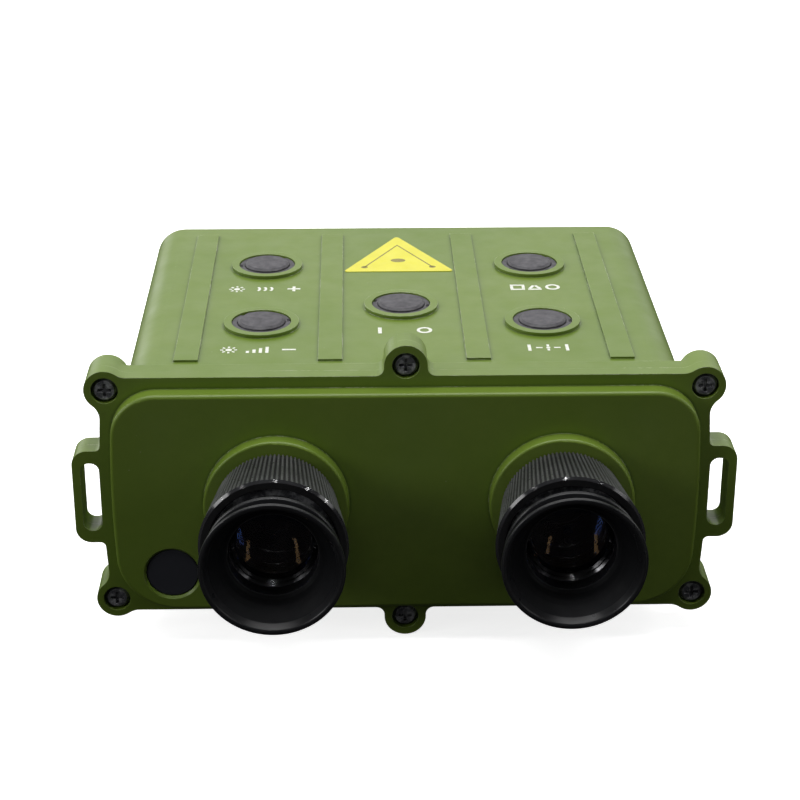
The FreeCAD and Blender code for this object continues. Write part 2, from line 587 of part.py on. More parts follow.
def tripod_foot():
    """Block under the housing that takes the tripod's load, with its bush and screw holes."""
    body = new_body("tripod_foot")
    plan = ("-foot_width/2", "foot_width/2", "foot_near", "foot_far")
    pad(body, "XY_Plane", "-foot_bottom", "-housing_height/2", draw_rectangle, plan)
    half, ends = size("foot_width") / 2, (size("foot_near"), size("foot_far"))
    corners = [(side * half, y) for side in (LEFT, RIGHT) for y in ends]
    fillet(body, "foot_corner", lambda edge: runs_along(edge, Z_AXIS) and near_any(edge, corners, "xy"))
    bottom = -size("foot_bottom")
    fillet(body, "foot_rounding", lambda edge: abs(edge.BoundBox.ZMax - bottom) < LEVEL_REACH)
    bush = ("0", "bush_y", "bush_radius+press_gap")
    pocket(body, "XY_Plane", "-foot_bottom", "-foot_bottom+bush_length", draw_circle, bush)
    bush_seat = ("0", "bush_y", "bush_flange_radius+press_gap")
    pocket(body, "XY_Plane", "-foot_bottom", "-foot_bottom+bush_flange", draw_circle, bush_seat)
    holes = [(x, y, "foot_screw_shank+fit_gap") for x, y in FOOT_SCREWS]
    pocket(body, "XY_Plane", "-foot_bottom", "-housing_height/2", draw_circle, *holes)
    sinks = [(x, y, "foot_screw_head+fit_gap") for x, y in FOOT_SCREWS]
    head = "-foot_bottom+foot_screw_sink+foot_screw_cone"
    pocket(body, "XY_Plane", "-foot_bottom", head, draw_circle, *sinks)
    return body


def foot_screw_template():
    """One screw with a tapered head and a cross recess, its head's face at the origin plane."""
    profile = [
        ("0", "0"), ("foot_screw_head", "0"), ("foot_screw_head", "foot_screw_edge"),
        ("foot_screw_shank", "foot_screw_cone"), ("foot_screw_shank", "foot_screw_length"),
        ("0", "foot_screw_length"),
    ]
    body = turned("foot_screw_template", profile, facing="up")
    arm, half = "foot_cross_length/2", "foot_cross_width/2"
    for wide, deep in ((arm, half), (half, arm)):
        recess = ("-" + wide, wide, "-" + deep, deep)
        pocket(body, "XY_Plane", "0", "foot_cross_depth", draw_rectangle, recess)
    return body


def foot_screws():
    level = size("foot_screw_sink") - size("foot_bottom")
    ends = (size("foot_screw_near"), size("foot_screw_far"))
    places = [(side * size("foot_screw_x"), y, level) for side in (LEFT, RIGHT) for y in ends]
    return group("foot_screws", copies(foot_screw_template(), places))


def tripod_bush():
    profile = [
        ("bush_bore", "0"), ("bush_flange_radius", "0"), ("bush_flange_radius", "bush_flange"),
        ("bush_radius", "bush_flange"), ("bush_radius", "bush_length"), ("bush_bore", "bush_length"),
    ]
    return turned("tripod_bush", profile, ("0", "bush_y", "-foot_bottom"), "up")


def caution_sticker():
    """Plain triangular sticker on the top face."""
    body = new_body("triangle_sticker")
    half = "sticker_width/2"
    corners = [("-" + half, "sticker_near"), (half, "sticker_near"), ("0", "sticker_far")]
    pad(body, "XY_Plane", TOP, TOP + "+sticker_thickness", draw_polygon, (corners,))
    fillet(body, "sticker_corner", lambda edge: runs_along(edge, Z_AXIS))
    return body


# --- Keys and boards ------------------------------------------------------------------------------

def key_cap(label, x, y):
    profile = [
        ("0", "key_stem_end"), ("key_stem_radius", "key_stem_end"), ("key_stem_radius", "key_skirt_bottom"),
        ("key_skirt_radius", "key_skirt_bottom"), ("key_skirt_radius", "key_skirt_top"),
        ("key_pad_radius", "key_skirt_top"), ("key_pad_radius", "key_pad_top-key_pad_edge"),
        ("key_pad_radius-key_pad_edge", "key_pad_top-key_pad_dome"), ("0", "key_pad_top"),
    ]
    return turned(label, profile, (x, y, "0"), "up")


def key_places():
    signs = {"0": 0.0, "key_x": size("key_x"), "-key_x": -size("key_x")}
    return [(signs[x], size(y), 0) for x, y in KEYS.values()]


def key_rings():
    """Slotted rings that hold the keys down in their wells."""
    profile = [
        ("key_ring_bore", "key_ring_bottom"), ("key_ring_radius", "key_ring_bottom"),
        ("key_ring_radius", "key_ring_top-key_ring_edge"), ("key_ring_radius-key_ring_edge", "key_ring_top"),
        ("key_ring_bore", "key_ring_top"),
    ]
    ring = turned("key_ring_template", profile, facing="up")
    half, start, reach = "key_ring_slot/2", "key_ring_slot_start", "(key_ring_radius+overlap)"
    slots = [("-" + half, half, start, reach), ("-" + half, half, "-" + reach, "-" + start)]
    pocket(ring, "XY_Plane", "key_ring_top-key_ring_slot_depth", "key_ring_top", draw_rectangle, *slots)
    return group("key_retaining_rings", copies(ring, key_places()))


def key_board():
    board = new_body("key_board")
    across = "post_x+board_margin"
    plan = ("-(%s)" % across, across, "post_near_y-board_margin", "post_far_y+board_margin")
    pad(board, "XY_Plane", "key_board_bottom", "key_board_top", draw_rectangle, plan)
    holes = [(x, y, "board_screw_shank+2*fit_gap") for x, y in POSTS]
    pocket(board, "XY_Plane", "key_board_bottom", "key_board_top", draw_circle, *holes)
    return board


def tact_switches():
    half, plunger, travel = size("switch_side") / 2, size("plunger_radius"), size("plunger_height")
    base = size("key_board_top")
    can_height = size("switch_top") - base - travel
    shapes = []
    for x, y, _ in key_places():
        can = Part.makeBox(2 * half, 2 * half, can_height, FreeCAD.Vector(x - half, y - half, base))
        button = Part.makeCylinder(plunger, travel, FreeCAD.Vector(x, y, base + can_height))
        shapes.append(can.fuse(button))
    return group("tact_switches", shapes)


def board_screws():
    head = "key_board_bottom-board_screw_head_height"
    profile = [
        ("0", head), ("board_screw_head", head),
        ("board_screw_head", "key_board_bottom"), ("board_screw_shank", "key_board_bottom"),
        ("board_screw_shank", "board_screw_reach"), ("0", "board_screw_reach"),
    ]
    screw = turned("board_screw_template", profile, facing="up")
    ys = (size("post_near_y"), size("post_far_y"))
    places = [(side * size("post_x"), y, 0) for side in (LEFT, RIGHT) for y in ys]
    return group("board_screws", copies(screw, places))


def main_board():
    x = ("main_board_x-main_board_thickness", "main_board_x")
    z = ("main_board_bottom", "main_board_top")
    return box("main_board", x, ("main_board_near", "main_board_far"), z)


def board_rail():
    """Rubber-lined rail that ties the upright board to the housing's end of the cavity."""
    x = ("-housing_width/2+wall", "main_board_x-main_board_thickness")
    z = ("-rail_half_height", "rail_half_height")
    return box("board_rail", x, ("main_board_near", "main_board_far"), z)


# --- Eyepieces ------------------------------------------------------------------------------------

def eyepiece(side):
    """All pieces of one eyepiece; the left one rests further out than the right."""
    name = SIDE_NAMES[side]
    axis = (EYE_X[side], "0", "eye_z")
    moved = axis if side == RIGHT else (EYE_X[side], "-left_eye_advance", "eye_z")
    sleeve(name, axis)
    diopter_ring(name, axis)
    lens_barrel(name, moved)
    lens_pieces(name, moved)
    eyecup(name, moved)


def sleeve(name, axis):
    """Fixed tube with a shoulder inside the cover and a slot for the guide pin."""
    profile = [
        ("sleeve_bore", "sleeve_front"), ("sleeve_radius", "sleeve_front"),
        ("sleeve_radius", "sleeve_shoulder_front"), ("sleeve_shoulder_radius", "sleeve_shoulder_front"),
        ("sleeve_shoulder_radius", "-inner_boss_depth"), ("sleeve_radius", "-inner_boss_depth"),
        ("sleeve_radius", "keeper_low-press_gap"), ("keeper_groove_radius", "keeper_low-press_gap"),
        ("keeper_groove_radius", "sleeve_back"), ("sleeve_bore", "sleeve_back"),
    ]
    body = turned(name + "_eyepiece_sleeve", profile, axis)
    half = "guide_slot_width/2"
    slot = ("-" + half, half, "guide_slot_low", "guide_slot_high")
    pocket(body, "XZ_Plane", "-sleeve_radius-overlap", "-sleeve_bore/2", draw_rectangle, slot)
    return body


def diopter_ring(name, axis):
    """Tapered grip ring, captive between the cover boss and its keeper."""
    bore = "sleeve_radius+fit_gap"
    profile = [
        (bore, "ring_low"), ("ring_small_radius", "ring_low"),
        ("ring_large_radius", "ring_high-ring_chamfer"), ("ring_large_radius-ring_chamfer", "ring_high"),
        ("ring_counterbore", "ring_high"), ("ring_counterbore", "ring_counterbore_floor"),
        (bore, "ring_counterbore_floor"), (bore, "ring_groove_high"),
        ("ring_groove_radius", "ring_groove_high"), ("ring_groove_radius", "ring_groove_low"),
        (bore, "ring_groove_low"),
    ]
    return turned(name + "_diopter_ring", profile, axis)


def ring_keepers():
    """Snap rings on the back ends of the two sleeves."""
    inner, outer = size("keeper_inner"), size("keeper_radius")
    thickness = size("keeper_high") - size("keeper_low")
    shapes = []
    for side in (LEFT, RIGHT):
        x = size("eye_offset_x") + side * size("eye_spacing") / 2
        base = FreeCAD.Vector(x, -size("keeper_low"), size("eye_z"))
        disc = Part.makeCylinder(outer, thickness, base, FreeCAD.Vector(0, -1, 0))
        hole = Part.makeCylinder(inner, thickness, base, FreeCAD.Vector(0, -1, 0))
        shapes.append(disc.cut(hole))
    return group("ring_keepers", shapes)


def lens_barrel(name, axis):
    """Sliding tube that carries the eye and field lenses; its head holds the eyecup."""
    groove = "barrel_radius-barrel_seal_depth"
    profile = [
        ("barrel_bore", "barrel_front"), ("barrel_radius", "barrel_front"),
        ("barrel_radius", "barrel_seal_low"), (groove, "barrel_seal_low"),
        (groove, "barrel_seal_high"), ("barrel_radius", "barrel_seal_high"),
        ("barrel_radius", "barrel_head_low"), ("barrel_head_radius", "barrel_head_low"),
        ("barrel_head_radius", "barrel_collar_end"), ("barrel_collar_inner", "barrel_collar_end"),
        ("barrel_collar_inner", "barrel_head_face"), ("barrel_bore", "barrel_head_face"),
        ("barrel_bore", "eye_lens_low"), ("barrel_stop_radius", "eye_lens_low"),
        ("barrel_stop_radius", "field_lens_high"), ("barrel_bore", "field_lens_high"),
    ]
    body = turned(name + "_lens_barrel", profile, axis)
    pin_hole = ("0", "pin_station", "pin_radius+press_gap")
    pocket(body, "XZ_Plane", "-barrel_radius-overlap", "-pin_inner", draw_circle, pin_hole)
    return body


def lens(label, sizes, spot, facing):
    """Biconvex lens with a flat rim: a rim cylinder joined to the common part of two spheres.

    The sizes are expressions for the rim radius, the clear aperture, the two rim faces and the curve.
    """
    radius, aperture, low, high, curve = sizes
    sagitta = "(%s-sqrt(%s*%s-(%s)*(%s)))" % (curve, curve, curve, aperture, aperture)
    rim = doc.addObject("Part::Cylinder", label + "_rim")
    bind(rim, "Radius", radius)
    bind(rim, "Height", "%s-(%s)" % (high, low))
    bind(rim, "Placement.Base.z", low)
    core = doc.addObject("Part::Cylinder", label + "_core")
    bind(core, "Radius", aperture)
    bind(core, "Height", "%s-(%s)+2*%s" % (high, low, sagitta))
    bind(core, "Placement.Base.z", "%s-%s" % (low, sagitta))
    back = doc.addObject("Part::Sphere", label + "_back")
    bind(back, "Radius", curve)
    bind(back, "Placement.Base.z", "%s+%s-%s" % (high, sagitta, curve))
    front = doc.addObject("Part::Sphere", label + "_front")
    bind(front, "Radius", curve)
    bind(front, "Placement.Base.z", "%s-%s+%s" % (low, sagitta, curve))
    bulge = doc.addObject("Part::MultiCommon", label + "_bulge")
    bulge.Shapes = [core, back, front]
    glass = doc.addObject("Part::MultiFuse", label)
    glass.Label = label
    glass.Shapes = [rim, bulge]
    glass.Refine = True
    glass.Placement = doc_place(spot, facing)
    doc.recompute()
    return glass


def doc_place(axis, facing):
    """The placement of an axis whose local Z looks backwards or forwards."""
    turn = FreeCAD.Rotation(FreeCAD.Vector(1, 0, 0), {"back": 90, "front": -90}[facing])
    return FreeCAD.Placement(FreeCAD.Vector(*axis), turn)


def lens_pieces(name, axis):
    side = LEFT if name == "left" else RIGHT
    x = size("eye_offset_x") + side * size("eye_spacing") / 2
    y = -size("left_eye_advance") if side == LEFT else 0.0
    spot = (x, y, size("eye_z"))
    aperture = "barrel_stop_radius-lens_clearance"
    eye = ("eye_lens_radius", aperture, "eye_lens_low", "eye_lens_high", "eye_lens_curve")
    field = ("field_lens_radius", aperture, "field_lens_low", "field_lens_high", "field_lens_curve")
    lens(name + "_eye_lens", eye, spot, "back")
    lens(name + "_field_lens", field, spot, "back")
    profile = [
        ("lens_ring_bore", "eye_lens_high"), ("eye_lens_radius", "eye_lens_high"),
        ("eye_lens_radius", "lens_ring_high"), ("lens_ring_mouth", "lens_ring_high"),
        ("lens_ring_bore", "lens_ring_slope"),
    ]
    ring = turned(name + "_lens_ring", profile, axis)
    half = "lens_ring_slot/2"
    slot = ("-barrel_radius", "barrel_radius", "-" + half, half)
    pocket(ring, "XY_Plane", "lens_ring_high-lens_ring_slot_depth", "lens_ring_high", draw_rectangle, slot)
    pin = doc.addObject("Part::Cylinder", name + "_guide_pin")
    pin.Label = name + "_guide_pin"
    bind(pin, "Radius", "pin_radius")
    bind(pin, "Height", "pin_outer-pin_inner")
    pin.Placement.Base = FreeCAD.Vector(x, y - size("pin_station"), size("eye_z") - size("pin_outer"))
    inner, outer = "barrel_radius-barrel_seal_depth+press_gap", "barrel_radius+seal_squeeze"
    low, high = "barrel_seal_low+fit_gap", "barrel_seal_high-fit_gap"
    seal_profile = [(inner, low), (outer, low), (outer, high), (inner, high)]
    turned(name + "_barrel_seal", seal_profile, axis)


def eyecup(name, axis):
    """Rubber eyecup with a gripping neck, a bead and a flared mouth."""
    profile = [
        ("barrel_head_radius", "cup_low"), ("cup_neck_radius", "cup_low"),
        ("cup_neck_radius", "cup_bead_low-cup_edge"), ("cup_bead_radius", "cup_bead_low"),
        ("cup_bead_radius", "cup_bead_high"), ("cup_waist_radius", "cup_waist"),
        ("cup_rim_radius", "cup_rim_low"), ("cup_rim_radius", "cup_rim-cup_edge"),
        ("cup_rim_radius-cup_edge", "cup_rim"), ("cup_mouth_radius", "cup_rim"),
        ("cup_throat_radius", "cup_throat"), ("barrel_collar_inner", "cup_throat"),
        ("barrel_collar_inner", "barrel_collar_end"), ("barrel_head_radius", "barrel_collar_end"),
    ]
    return turned(name + "_eyecup", profile, axis)


# --- Port -----------------------------------------------------------------------------------------

PORT_AXIS = ("port_x", "0", "port_z")


def port_connector():
    """Socket behind the cover with a hole for the plug's stem."""
    flange_end, socket_end = "recess_floor-connector_flange", "-plug_stem_end-overlap"
    profile = [
        ("socket_radius", "recess_floor"), ("connector_flange_radius", "recess_floor"),
        ("connector_flange_radius", flange_end), ("connector_radius", flange_end),
        ("connector_radius", "-connector_end"), ("0", "-connector_end"),
        ("0", socket_end), ("socket_radius", socket_end),
    ]
    return turned("port_connector", profile, PORT_AXIS)


def port_plug():
    profile = [
        ("0", "plug_face"), ("plug_radius-plug_edge", "plug_face"), ("plug_radius", "plug_face-plug_edge"),
        ("plug_radius", "plug_face-plug_thickness"), ("plug_stem_radius", "plug_face-plug_thickness"),
        ("plug_stem_radius", "-plug_stem_end"), ("0", "-plug_stem_end"),
    ]
    return turned("port_plug", profile, PORT_AXIS)


# --- Prisms, objectives, laser and battery ----------------------------------------------------------

def prism(side):
    """Glass block with sloped corners, standing for the roof prism pair."""
    body = new_body(SIDE_NAMES[side] + "_prism")
    low, high = "eye_z-prism_half_height", "eye_z+prism_half_height"
    corners = [
        ("prism_near", low), ("prism_far-prism_cut", low), ("prism_far", low + "+prism_cut"),
        ("prism_far", high), ("prism_near+prism_cut", high), ("prism_near", high + "-prism_cut"),
    ]
    half = "prism_width/2"
    pad(body, "YZ_Plane", EYE_X[side] + "-" + half, EYE_X[side] + "+" + half, draw_polygon, (corners,))
    return body


def prism_holder(side):
    """Open-topped cradle that stands on the housing's floor."""
    body = new_body(SIDE_NAMES[side] + "_prism_holder")
    grow = "prism_width/2+holder_gap"
    x = EYE_X[side]
    outer = "(%s+holder_wall)" % grow
    floor = "-housing_height/2+wall"
    near, far = "prism_near-holder_gap", "prism_far+holder_gap"
    plan = (x + "-" + outer, x + "+" + outer, near + "-holder_wall", far + "+holder_wall")
    pad(body, "XY_Plane", floor, "holder_top", draw_rectangle, plan)
    inside = (x + "-(%s)" % grow, x + "+(%s)" % grow, near, far)
    pocket(body, "XY_Plane", "eye_z-prism_half_height", "holder_top", draw_rectangle, inside)
    window = (x, "eye_z", "holder_window")
    ends = (near + "-holder_wall-overlap", far + "+holder_wall+overlap")
    pocket(body, "XZ_Plane", *ends, draw_circle, window)
    return body


def objective(side):
    """Front barrel, its lens and the lens's retaining ring."""
    name = SIDE_NAMES[side]
    axis = (EYE_X[side], "0", "eye_z")
    profile = [
        ("objective_stop", "objective_near"), ("objective_radius", "objective_near"),
        ("objective_radius", "housing_end"), ("bezel_radius", "housing_end"),
        ("bezel_radius", "bezel_end-bezel_edge"), ("bezel_radius-bezel_edge", "bezel_end"),
        ("objective_bore+bezel_slope", "bezel_end"), ("objective_bore", "objective_ring_far+bezel_edge"),
        ("objective_bore", "objective_lens_near"), ("objective_stop", "objective_lens_near"),
    ]
    turned(name + "_objective_barrel", profile, axis, "front")
    spot = (size("eye_offset_x") + side * size("eye_spacing") / 2, 0, size("eye_z"))
    rim = ("objective_lens_radius", "objective_stop-lens_clearance")
    glass = (*rim, "objective_lens_near", "objective_lens_far", "objective_curve")
    lens(name + "_objective_lens", glass, spot, "front")
    ring = [
        ("objective_ring_bore", "objective_lens_far"), ("objective_lens_radius", "objective_lens_far"),
        ("objective_lens_radius", "objective_ring_far"),
        ("objective_ring_bore+objective_ring_slope", "objective_ring_far"),
        ("objective_ring_bore", "objective_ring_far-objective_ring_slope"),
    ]
    turned(name + "_objective_ring", ring, axis, "front")


def transmitter():
    """Laser emitter: tube with its own lens, and the diode behind it."""
    axis = (BATTERY_X, "0", "window_z")
    profile = [
        ("emitter_stop", "emitter_near"), ("emitter_radius", "emitter_near"),
        ("emitter_radius", "housing_end"), ("emitter_bezel_radius", "housing_end"),
        ("emitter_bezel_radius", "emitter_bezel_end-emitter_edge"),
        ("emitter_bezel_radius-emitter_edge", "emitter_bezel_end"),
        ("emitter_bore+emitter_edge", "emitter_bezel_end"), ("emitter_bore", "emitter_lens_far+emitter_edge"),
        ("emitter_bore", "emitter_lens_near"),
        ("emitter_stop", "emitter_lens_near"),
    ]
    turned("transmitter_tube", profile, axis, "front")
    spot = (size("eye_offset_x"), 0, size("window_z"))
    rim = ("emitter_lens_radius", "emitter_stop-lens_clearance")
    lens("transmitter_lens", (*rim, "emitter_lens_near", "emitter_lens_far", "emitter_curve"), spot, "front")
    base, cap = "diode_radius+diode_step", "diode_radius-diode_step"
    diode = [
        ("0", "diode_near"), (base, "diode_near"), (base, "emitter_near"), ("diode_radius", "emitter_near"),
        ("diode_radius", "diode_flange_end"), (cap, "diode_flange_end"), (cap, "diode_window_end"),
        ("0", "diode_window_end"),
    ]
    turned("laser_diode", diode, axis, "front")


def battery():
    """Battery tube, cell, inner contact, screw cap and the cap's seal."""
    axis = (BATTERY_X, "0", "battery_z")
    tube = [
        ("0", "battery_tube_near"), ("battery_tube_radius", "battery_tube_near"),
        ("battery_tube_radius", "housing_end"), ("battery_tube_bore", "housing_end"),
        ("battery_tube_bore", "battery_tube_floor"), ("0", "battery_tube_floor"),
    ]
    turned("battery_tube", tube, axis, "front")
    cell = [
        ("0", "battery_near"), ("battery_radius", "battery_near"), ("battery_radius", "battery_far"),
        ("battery_nub_radius", "battery_far"), ("battery_nub_radius", "battery_far+battery_nub"),
        ("0", "battery_far+battery_nub"),
    ]
    turned("battery_cell", cell, axis, "front")
    contact = [
        ("0", "battery_tube_floor"), ("contact_radius", "battery_tube_floor"),
        ("contact_radius", "battery_tube_floor+contact_thickness"),
        ("contact_radius/3", "battery_near"), ("0", "battery_near"),
    ]
    turned("battery_contact", contact, axis, "front")
    plug_core = "cap_plug_radius-cap_seal_depth"
    cap = [
        ("0", "cap_plug_end"), ("cap_plug_radius", "cap_plug_end"), ("cap_plug_radius", "cap_seal_near"),
        (plug_core, "cap_seal_near"), (plug_core, "cap_seal_far"), ("cap_plug_radius", "cap_seal_far"),
        ("cap_plug_radius", "cap_near"), ("cap_radius", "cap_near"), ("cap_radius", "cap_end-cap_edge"),
        ("cap_radius-cap_edge", "cap_end"), ("0", "cap_end"),
    ]
    body = turned("battery_cap", cap, axis, "front")
    half, arm = "coin_slot_width/2", "coin_slot_length/2"
    slot = ("-" + arm, arm, "-" + half, half)
    pocket(body, "XY_Plane", "cap_end-coin_slot_depth", "cap_end", draw_rectangle, slot)
    inner, outer = plug_core + "+press_gap", "cap_plug_radius+seal_squeeze"
    low, high = "cap_seal_near+fit_gap", "cap_seal_far-fit_gap"
    seal = [(inner, low), (outer, low), (outer, high), (inner, high)]
    turned("battery_cap_seal", seal, axis, "front")


def receiver_module():
    """Detector can on the outer side of the left prism holder."""
    can = doc.addObject("Part::Cylinder", "receiver_module")
    can.Label = "receiver_module"
    bind(can, "Radius", "receiver_radius")
    holder_side = "eye_spacing/2-eye_offset_x+prism_width/2+holder_gap+holder_wall"
    bind(can, "Height", "receiver_outer-(%s)" % holder_side)
    can.Placement.Rotation = FreeCAD.Rotation(FreeCAD.Vector(0, 1, 0), 90)
    bind(can, "Placement.Base.x", "-receiver_outer")
    bind(can, "Placement.Base.y", "receiver_y")
    bind(can, "Placement.Base.z", "eye_z")
    return can


def display_module():
    """Reticle display on the outer side of the right prism holder."""
    start = "eye_offset_x+eye_spacing/2+prism_width/2+holder_gap+holder_wall"
    z = ("eye_z-display_height/2", "eye_z+display_height/2")
    return box("display_module", (start, start + "+display_thickness"), ("display_near", "display_far"), z)


# --- Assembly -------------------------------------------------------------------------------------

def build():
    main_housing()
    rear_cover()
    cover_seal()
    cover_screws()
    tripod_foot()
    foot_screws()
    tripod_bush()
    caution_sticker()
    for label, (x, y) in KEYS.items():
        key_cap(label, x, y)
    key_rings()
    key_board()
    tact_switches()
    board_screws()
    main_board()
    board_rail()
    for side in (LEFT, RIGHT):
        eyepiece(side)
        prism(side)
        prism_holder(side)
        objective(side)
    ring_keepers()
    port_connector()
    port_plug()
    transmitter()
    battery()
    receiver_module()
    display_module()


def check_document():
    for item in doc.Objects:
        if any(state in ("Invalid", "Error") for state in item.State):
            raise RuntimeError("%s is %s" % (item.Label, item.State))


def is_node(item):
    """Sub-parts are the top objects with a shape, apart from templates and the pieces of lenses."""
    if item.TypeId.startswith(("Sketcher", "Spreadsheet", "App::")) or not hasattr(item, "Shape"):
        return False
    if item.Label.endswith(("_template", "_rim", "_core", "_back", "_front", "_bulge")):
        return False
    kinds = ("PartDesign::Body", "Part::Box", "Part::Cylinder", "Part::MultiFuse", "Part::Feature")
    return item.TypeId in kinds


def export_nodes():
    os.makedirs("parts", exist_ok=True)
    for item in doc.Objects:
        if not is_node(item):
            continue
        if item.Shape.isNull() or not item.Shape.isValid():
            raise RuntimeError("%s has no valid shape" % item.Label)
        item.Shape.exportStep("parts/%s.step" % item.Label)
        print("%-28s solids %d volume %.1f" % (item.Label, len(item.Shape.Solids), item.Shape.Volume))


build()
doc.recompute()
check_document()
export_nodes()
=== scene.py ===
import math

import bmesh
import bpy
from mathutils import Matrix, Vector


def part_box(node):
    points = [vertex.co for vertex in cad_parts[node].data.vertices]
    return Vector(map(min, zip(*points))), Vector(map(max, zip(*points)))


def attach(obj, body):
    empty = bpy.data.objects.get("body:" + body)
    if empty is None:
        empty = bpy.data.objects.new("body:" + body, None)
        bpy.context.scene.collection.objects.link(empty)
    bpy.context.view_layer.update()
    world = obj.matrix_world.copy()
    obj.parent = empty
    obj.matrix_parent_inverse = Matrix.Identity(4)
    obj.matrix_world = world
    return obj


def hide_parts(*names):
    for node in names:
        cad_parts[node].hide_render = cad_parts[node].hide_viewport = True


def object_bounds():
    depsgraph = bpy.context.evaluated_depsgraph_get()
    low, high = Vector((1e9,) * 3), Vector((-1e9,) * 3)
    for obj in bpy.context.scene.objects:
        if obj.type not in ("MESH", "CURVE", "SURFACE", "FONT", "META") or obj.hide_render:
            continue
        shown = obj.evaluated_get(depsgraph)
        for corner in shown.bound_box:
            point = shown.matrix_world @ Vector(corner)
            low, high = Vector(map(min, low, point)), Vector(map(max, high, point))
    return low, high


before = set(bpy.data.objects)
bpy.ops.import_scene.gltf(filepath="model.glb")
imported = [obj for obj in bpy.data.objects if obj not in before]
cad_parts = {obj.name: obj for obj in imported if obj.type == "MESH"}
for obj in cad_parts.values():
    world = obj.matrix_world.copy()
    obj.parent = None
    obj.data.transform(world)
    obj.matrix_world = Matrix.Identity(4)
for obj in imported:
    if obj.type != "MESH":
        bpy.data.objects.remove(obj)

# Looks of a laser rangefinder: a green painted cast body with knurled eyepiece rings, rubber eyecups,
# keys with white marks and a plain triangular sticker. Lengths are millimetres unless a comment says
# otherwise; the scene itself is in metres. +X is the user's right, +Y forwards, +Z up.

MM = 0.001
CAD_BOX = [list(corner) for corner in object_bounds()]
SIDES = ("left", "right")


def node_box(node):
    """A node's corners in millimetres."""
    low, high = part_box(node)
    return low / MM, high / MM


# --- Node helpers ---------------------------------------------------------------------------------

BEVEL_SAMPLES = 4
CORNER_SHADE_SAMPLES = 6


class Shader:
    """A node material under construction, with short calls for the nodes that the finishes share."""

    def __init__(self, name):
        self.material = bpy.data.materials.new(name)
        self.material.use_nodes = True
        self.nodes = self.material.node_tree.nodes
        self.links = self.material.node_tree.links
        self.surface = self.nodes["Principled BSDF"]
        self.place = self.nodes.new("ShaderNodeTexCoord").outputs["Object"]

    def plug(self, target, value):
        """A socket's output or a plain value into an input."""
        if isinstance(value, bpy.types.NodeSocket):
            self.links.new(value, target)
        elif hasattr(target.default_value, "__len__") and len(value) == 3:
            target.default_value = (*value, 1.0)
        else:
            target.default_value = value

    def set(self, **inputs):
        """Surface inputs by name, with underscores for spaces."""
        for name, value in inputs.items():
            self.plug(self.surface.inputs[name.replace("_", " ")], value)

    def noise(self, scale, detail=2.0, roughness=0.5, stretch=None):
        node = self.nodes.new("ShaderNodeTexNoise")
        node.inputs["Scale"].default_value = scale
        node.inputs["Detail"].default_value = detail
        node.inputs["Roughness"].default_value = roughness
        place = self.place
        if stretch:
            mapping = self.nodes.new("ShaderNodeMapping")
            mapping.inputs["Scale"].default_value = stretch
            self.links.new(place, mapping.inputs["Vector"])
            place = mapping.outputs["Vector"]
        self.links.new(place, node.inputs["Vector"])
        return node.outputs["Fac"]

    def cells(self, scale):
        node = self.nodes.new("ShaderNodeTexVoronoi")
        node.inputs["Scale"].default_value = scale
        self.links.new(self.place, node.inputs["Vector"])
        return node.outputs["Distance"]

    def spread(self, value, low, high, to_low=0.0, to_high=1.0):
        """The value's span from low to high stretched onto another span."""
        node = self.nodes.new("ShaderNodeMapRange")
        self.links.new(value, node.inputs["Value"])
        for name, number in (("From Min", low), ("From Max", high), ("To Min", to_low), ("To Max", to_high)):
            node.inputs[name].default_value = number
        return node.outputs["Result"]

    def times(self, first, second):
        """A product, kept between 0 and 1."""
        node = self.nodes.new("ShaderNodeMath")
        node.operation = "MULTIPLY"
        node.use_clamp = True
        self.plug(node.inputs[0], first)
        self.plug(node.inputs[1], second)
        return node.outputs["Value"]

    def mix(self, factor, first, second):
        """A colour between two colours."""
        node = self.nodes.new("ShaderNodeMix")
        node.data_type = "RGBA"
        self.plug(node.inputs[0], factor)
        self.plug(node.inputs[6], first)
        self.plug(node.inputs[7], second)
        return node.outputs[2]

    def soft_edges(self, radius):
        node = self.nodes.new("ShaderNodeBevel")
        node.samples = BEVEL_SAMPLES
        node.inputs["Radius"].default_value = radius * MM
        return node.outputs["Normal"]

    def edges(self, radius):
        """1 near sharp edges and 0 on flat faces, from how far the rounded normal leaves the real one."""
        geometry = self.nodes.new("ShaderNodeNewGeometry")
        dot = self.nodes.new("ShaderNodeVectorMath")
        dot.operation = "DOT_PRODUCT"
        self.links.new(self.soft_edges(radius), dot.inputs[0])
        self.links.new(geometry.outputs["Normal"], dot.inputs[1])
        return self.spread(dot.outputs["Value"], 0.985, 0.80)

    def corner_shade(self, reach):
        """1 in tight inner corners and 0 on open faces, by how closely the piece's own faces stand; a mask
        for painted shade.
        """
        node = self.nodes.new("ShaderNodeAmbientOcclusion")
        node.samples = CORNER_SHADE_SAMPLES
        node.only_local = True
        node.inputs["Distance"].default_value = reach * MM
        return self.spread(node.outputs["AO"], 0.96, 0.60)

    def bump(self, height, depth, normal=None):
        """Relief of the given depth in millimetres on top of another normal."""
        node = self.nodes.new("ShaderNodeBump")
        node.inputs["Distance"].default_value = depth * MM
        self.links.new(height, node.inputs["Height"])
        if normal is not None:
            self.links.new(normal, node.inputs["Normal"])
        return node.outputs["Normal"]


# --- Finishes -------------------------------------------------------------------------------------

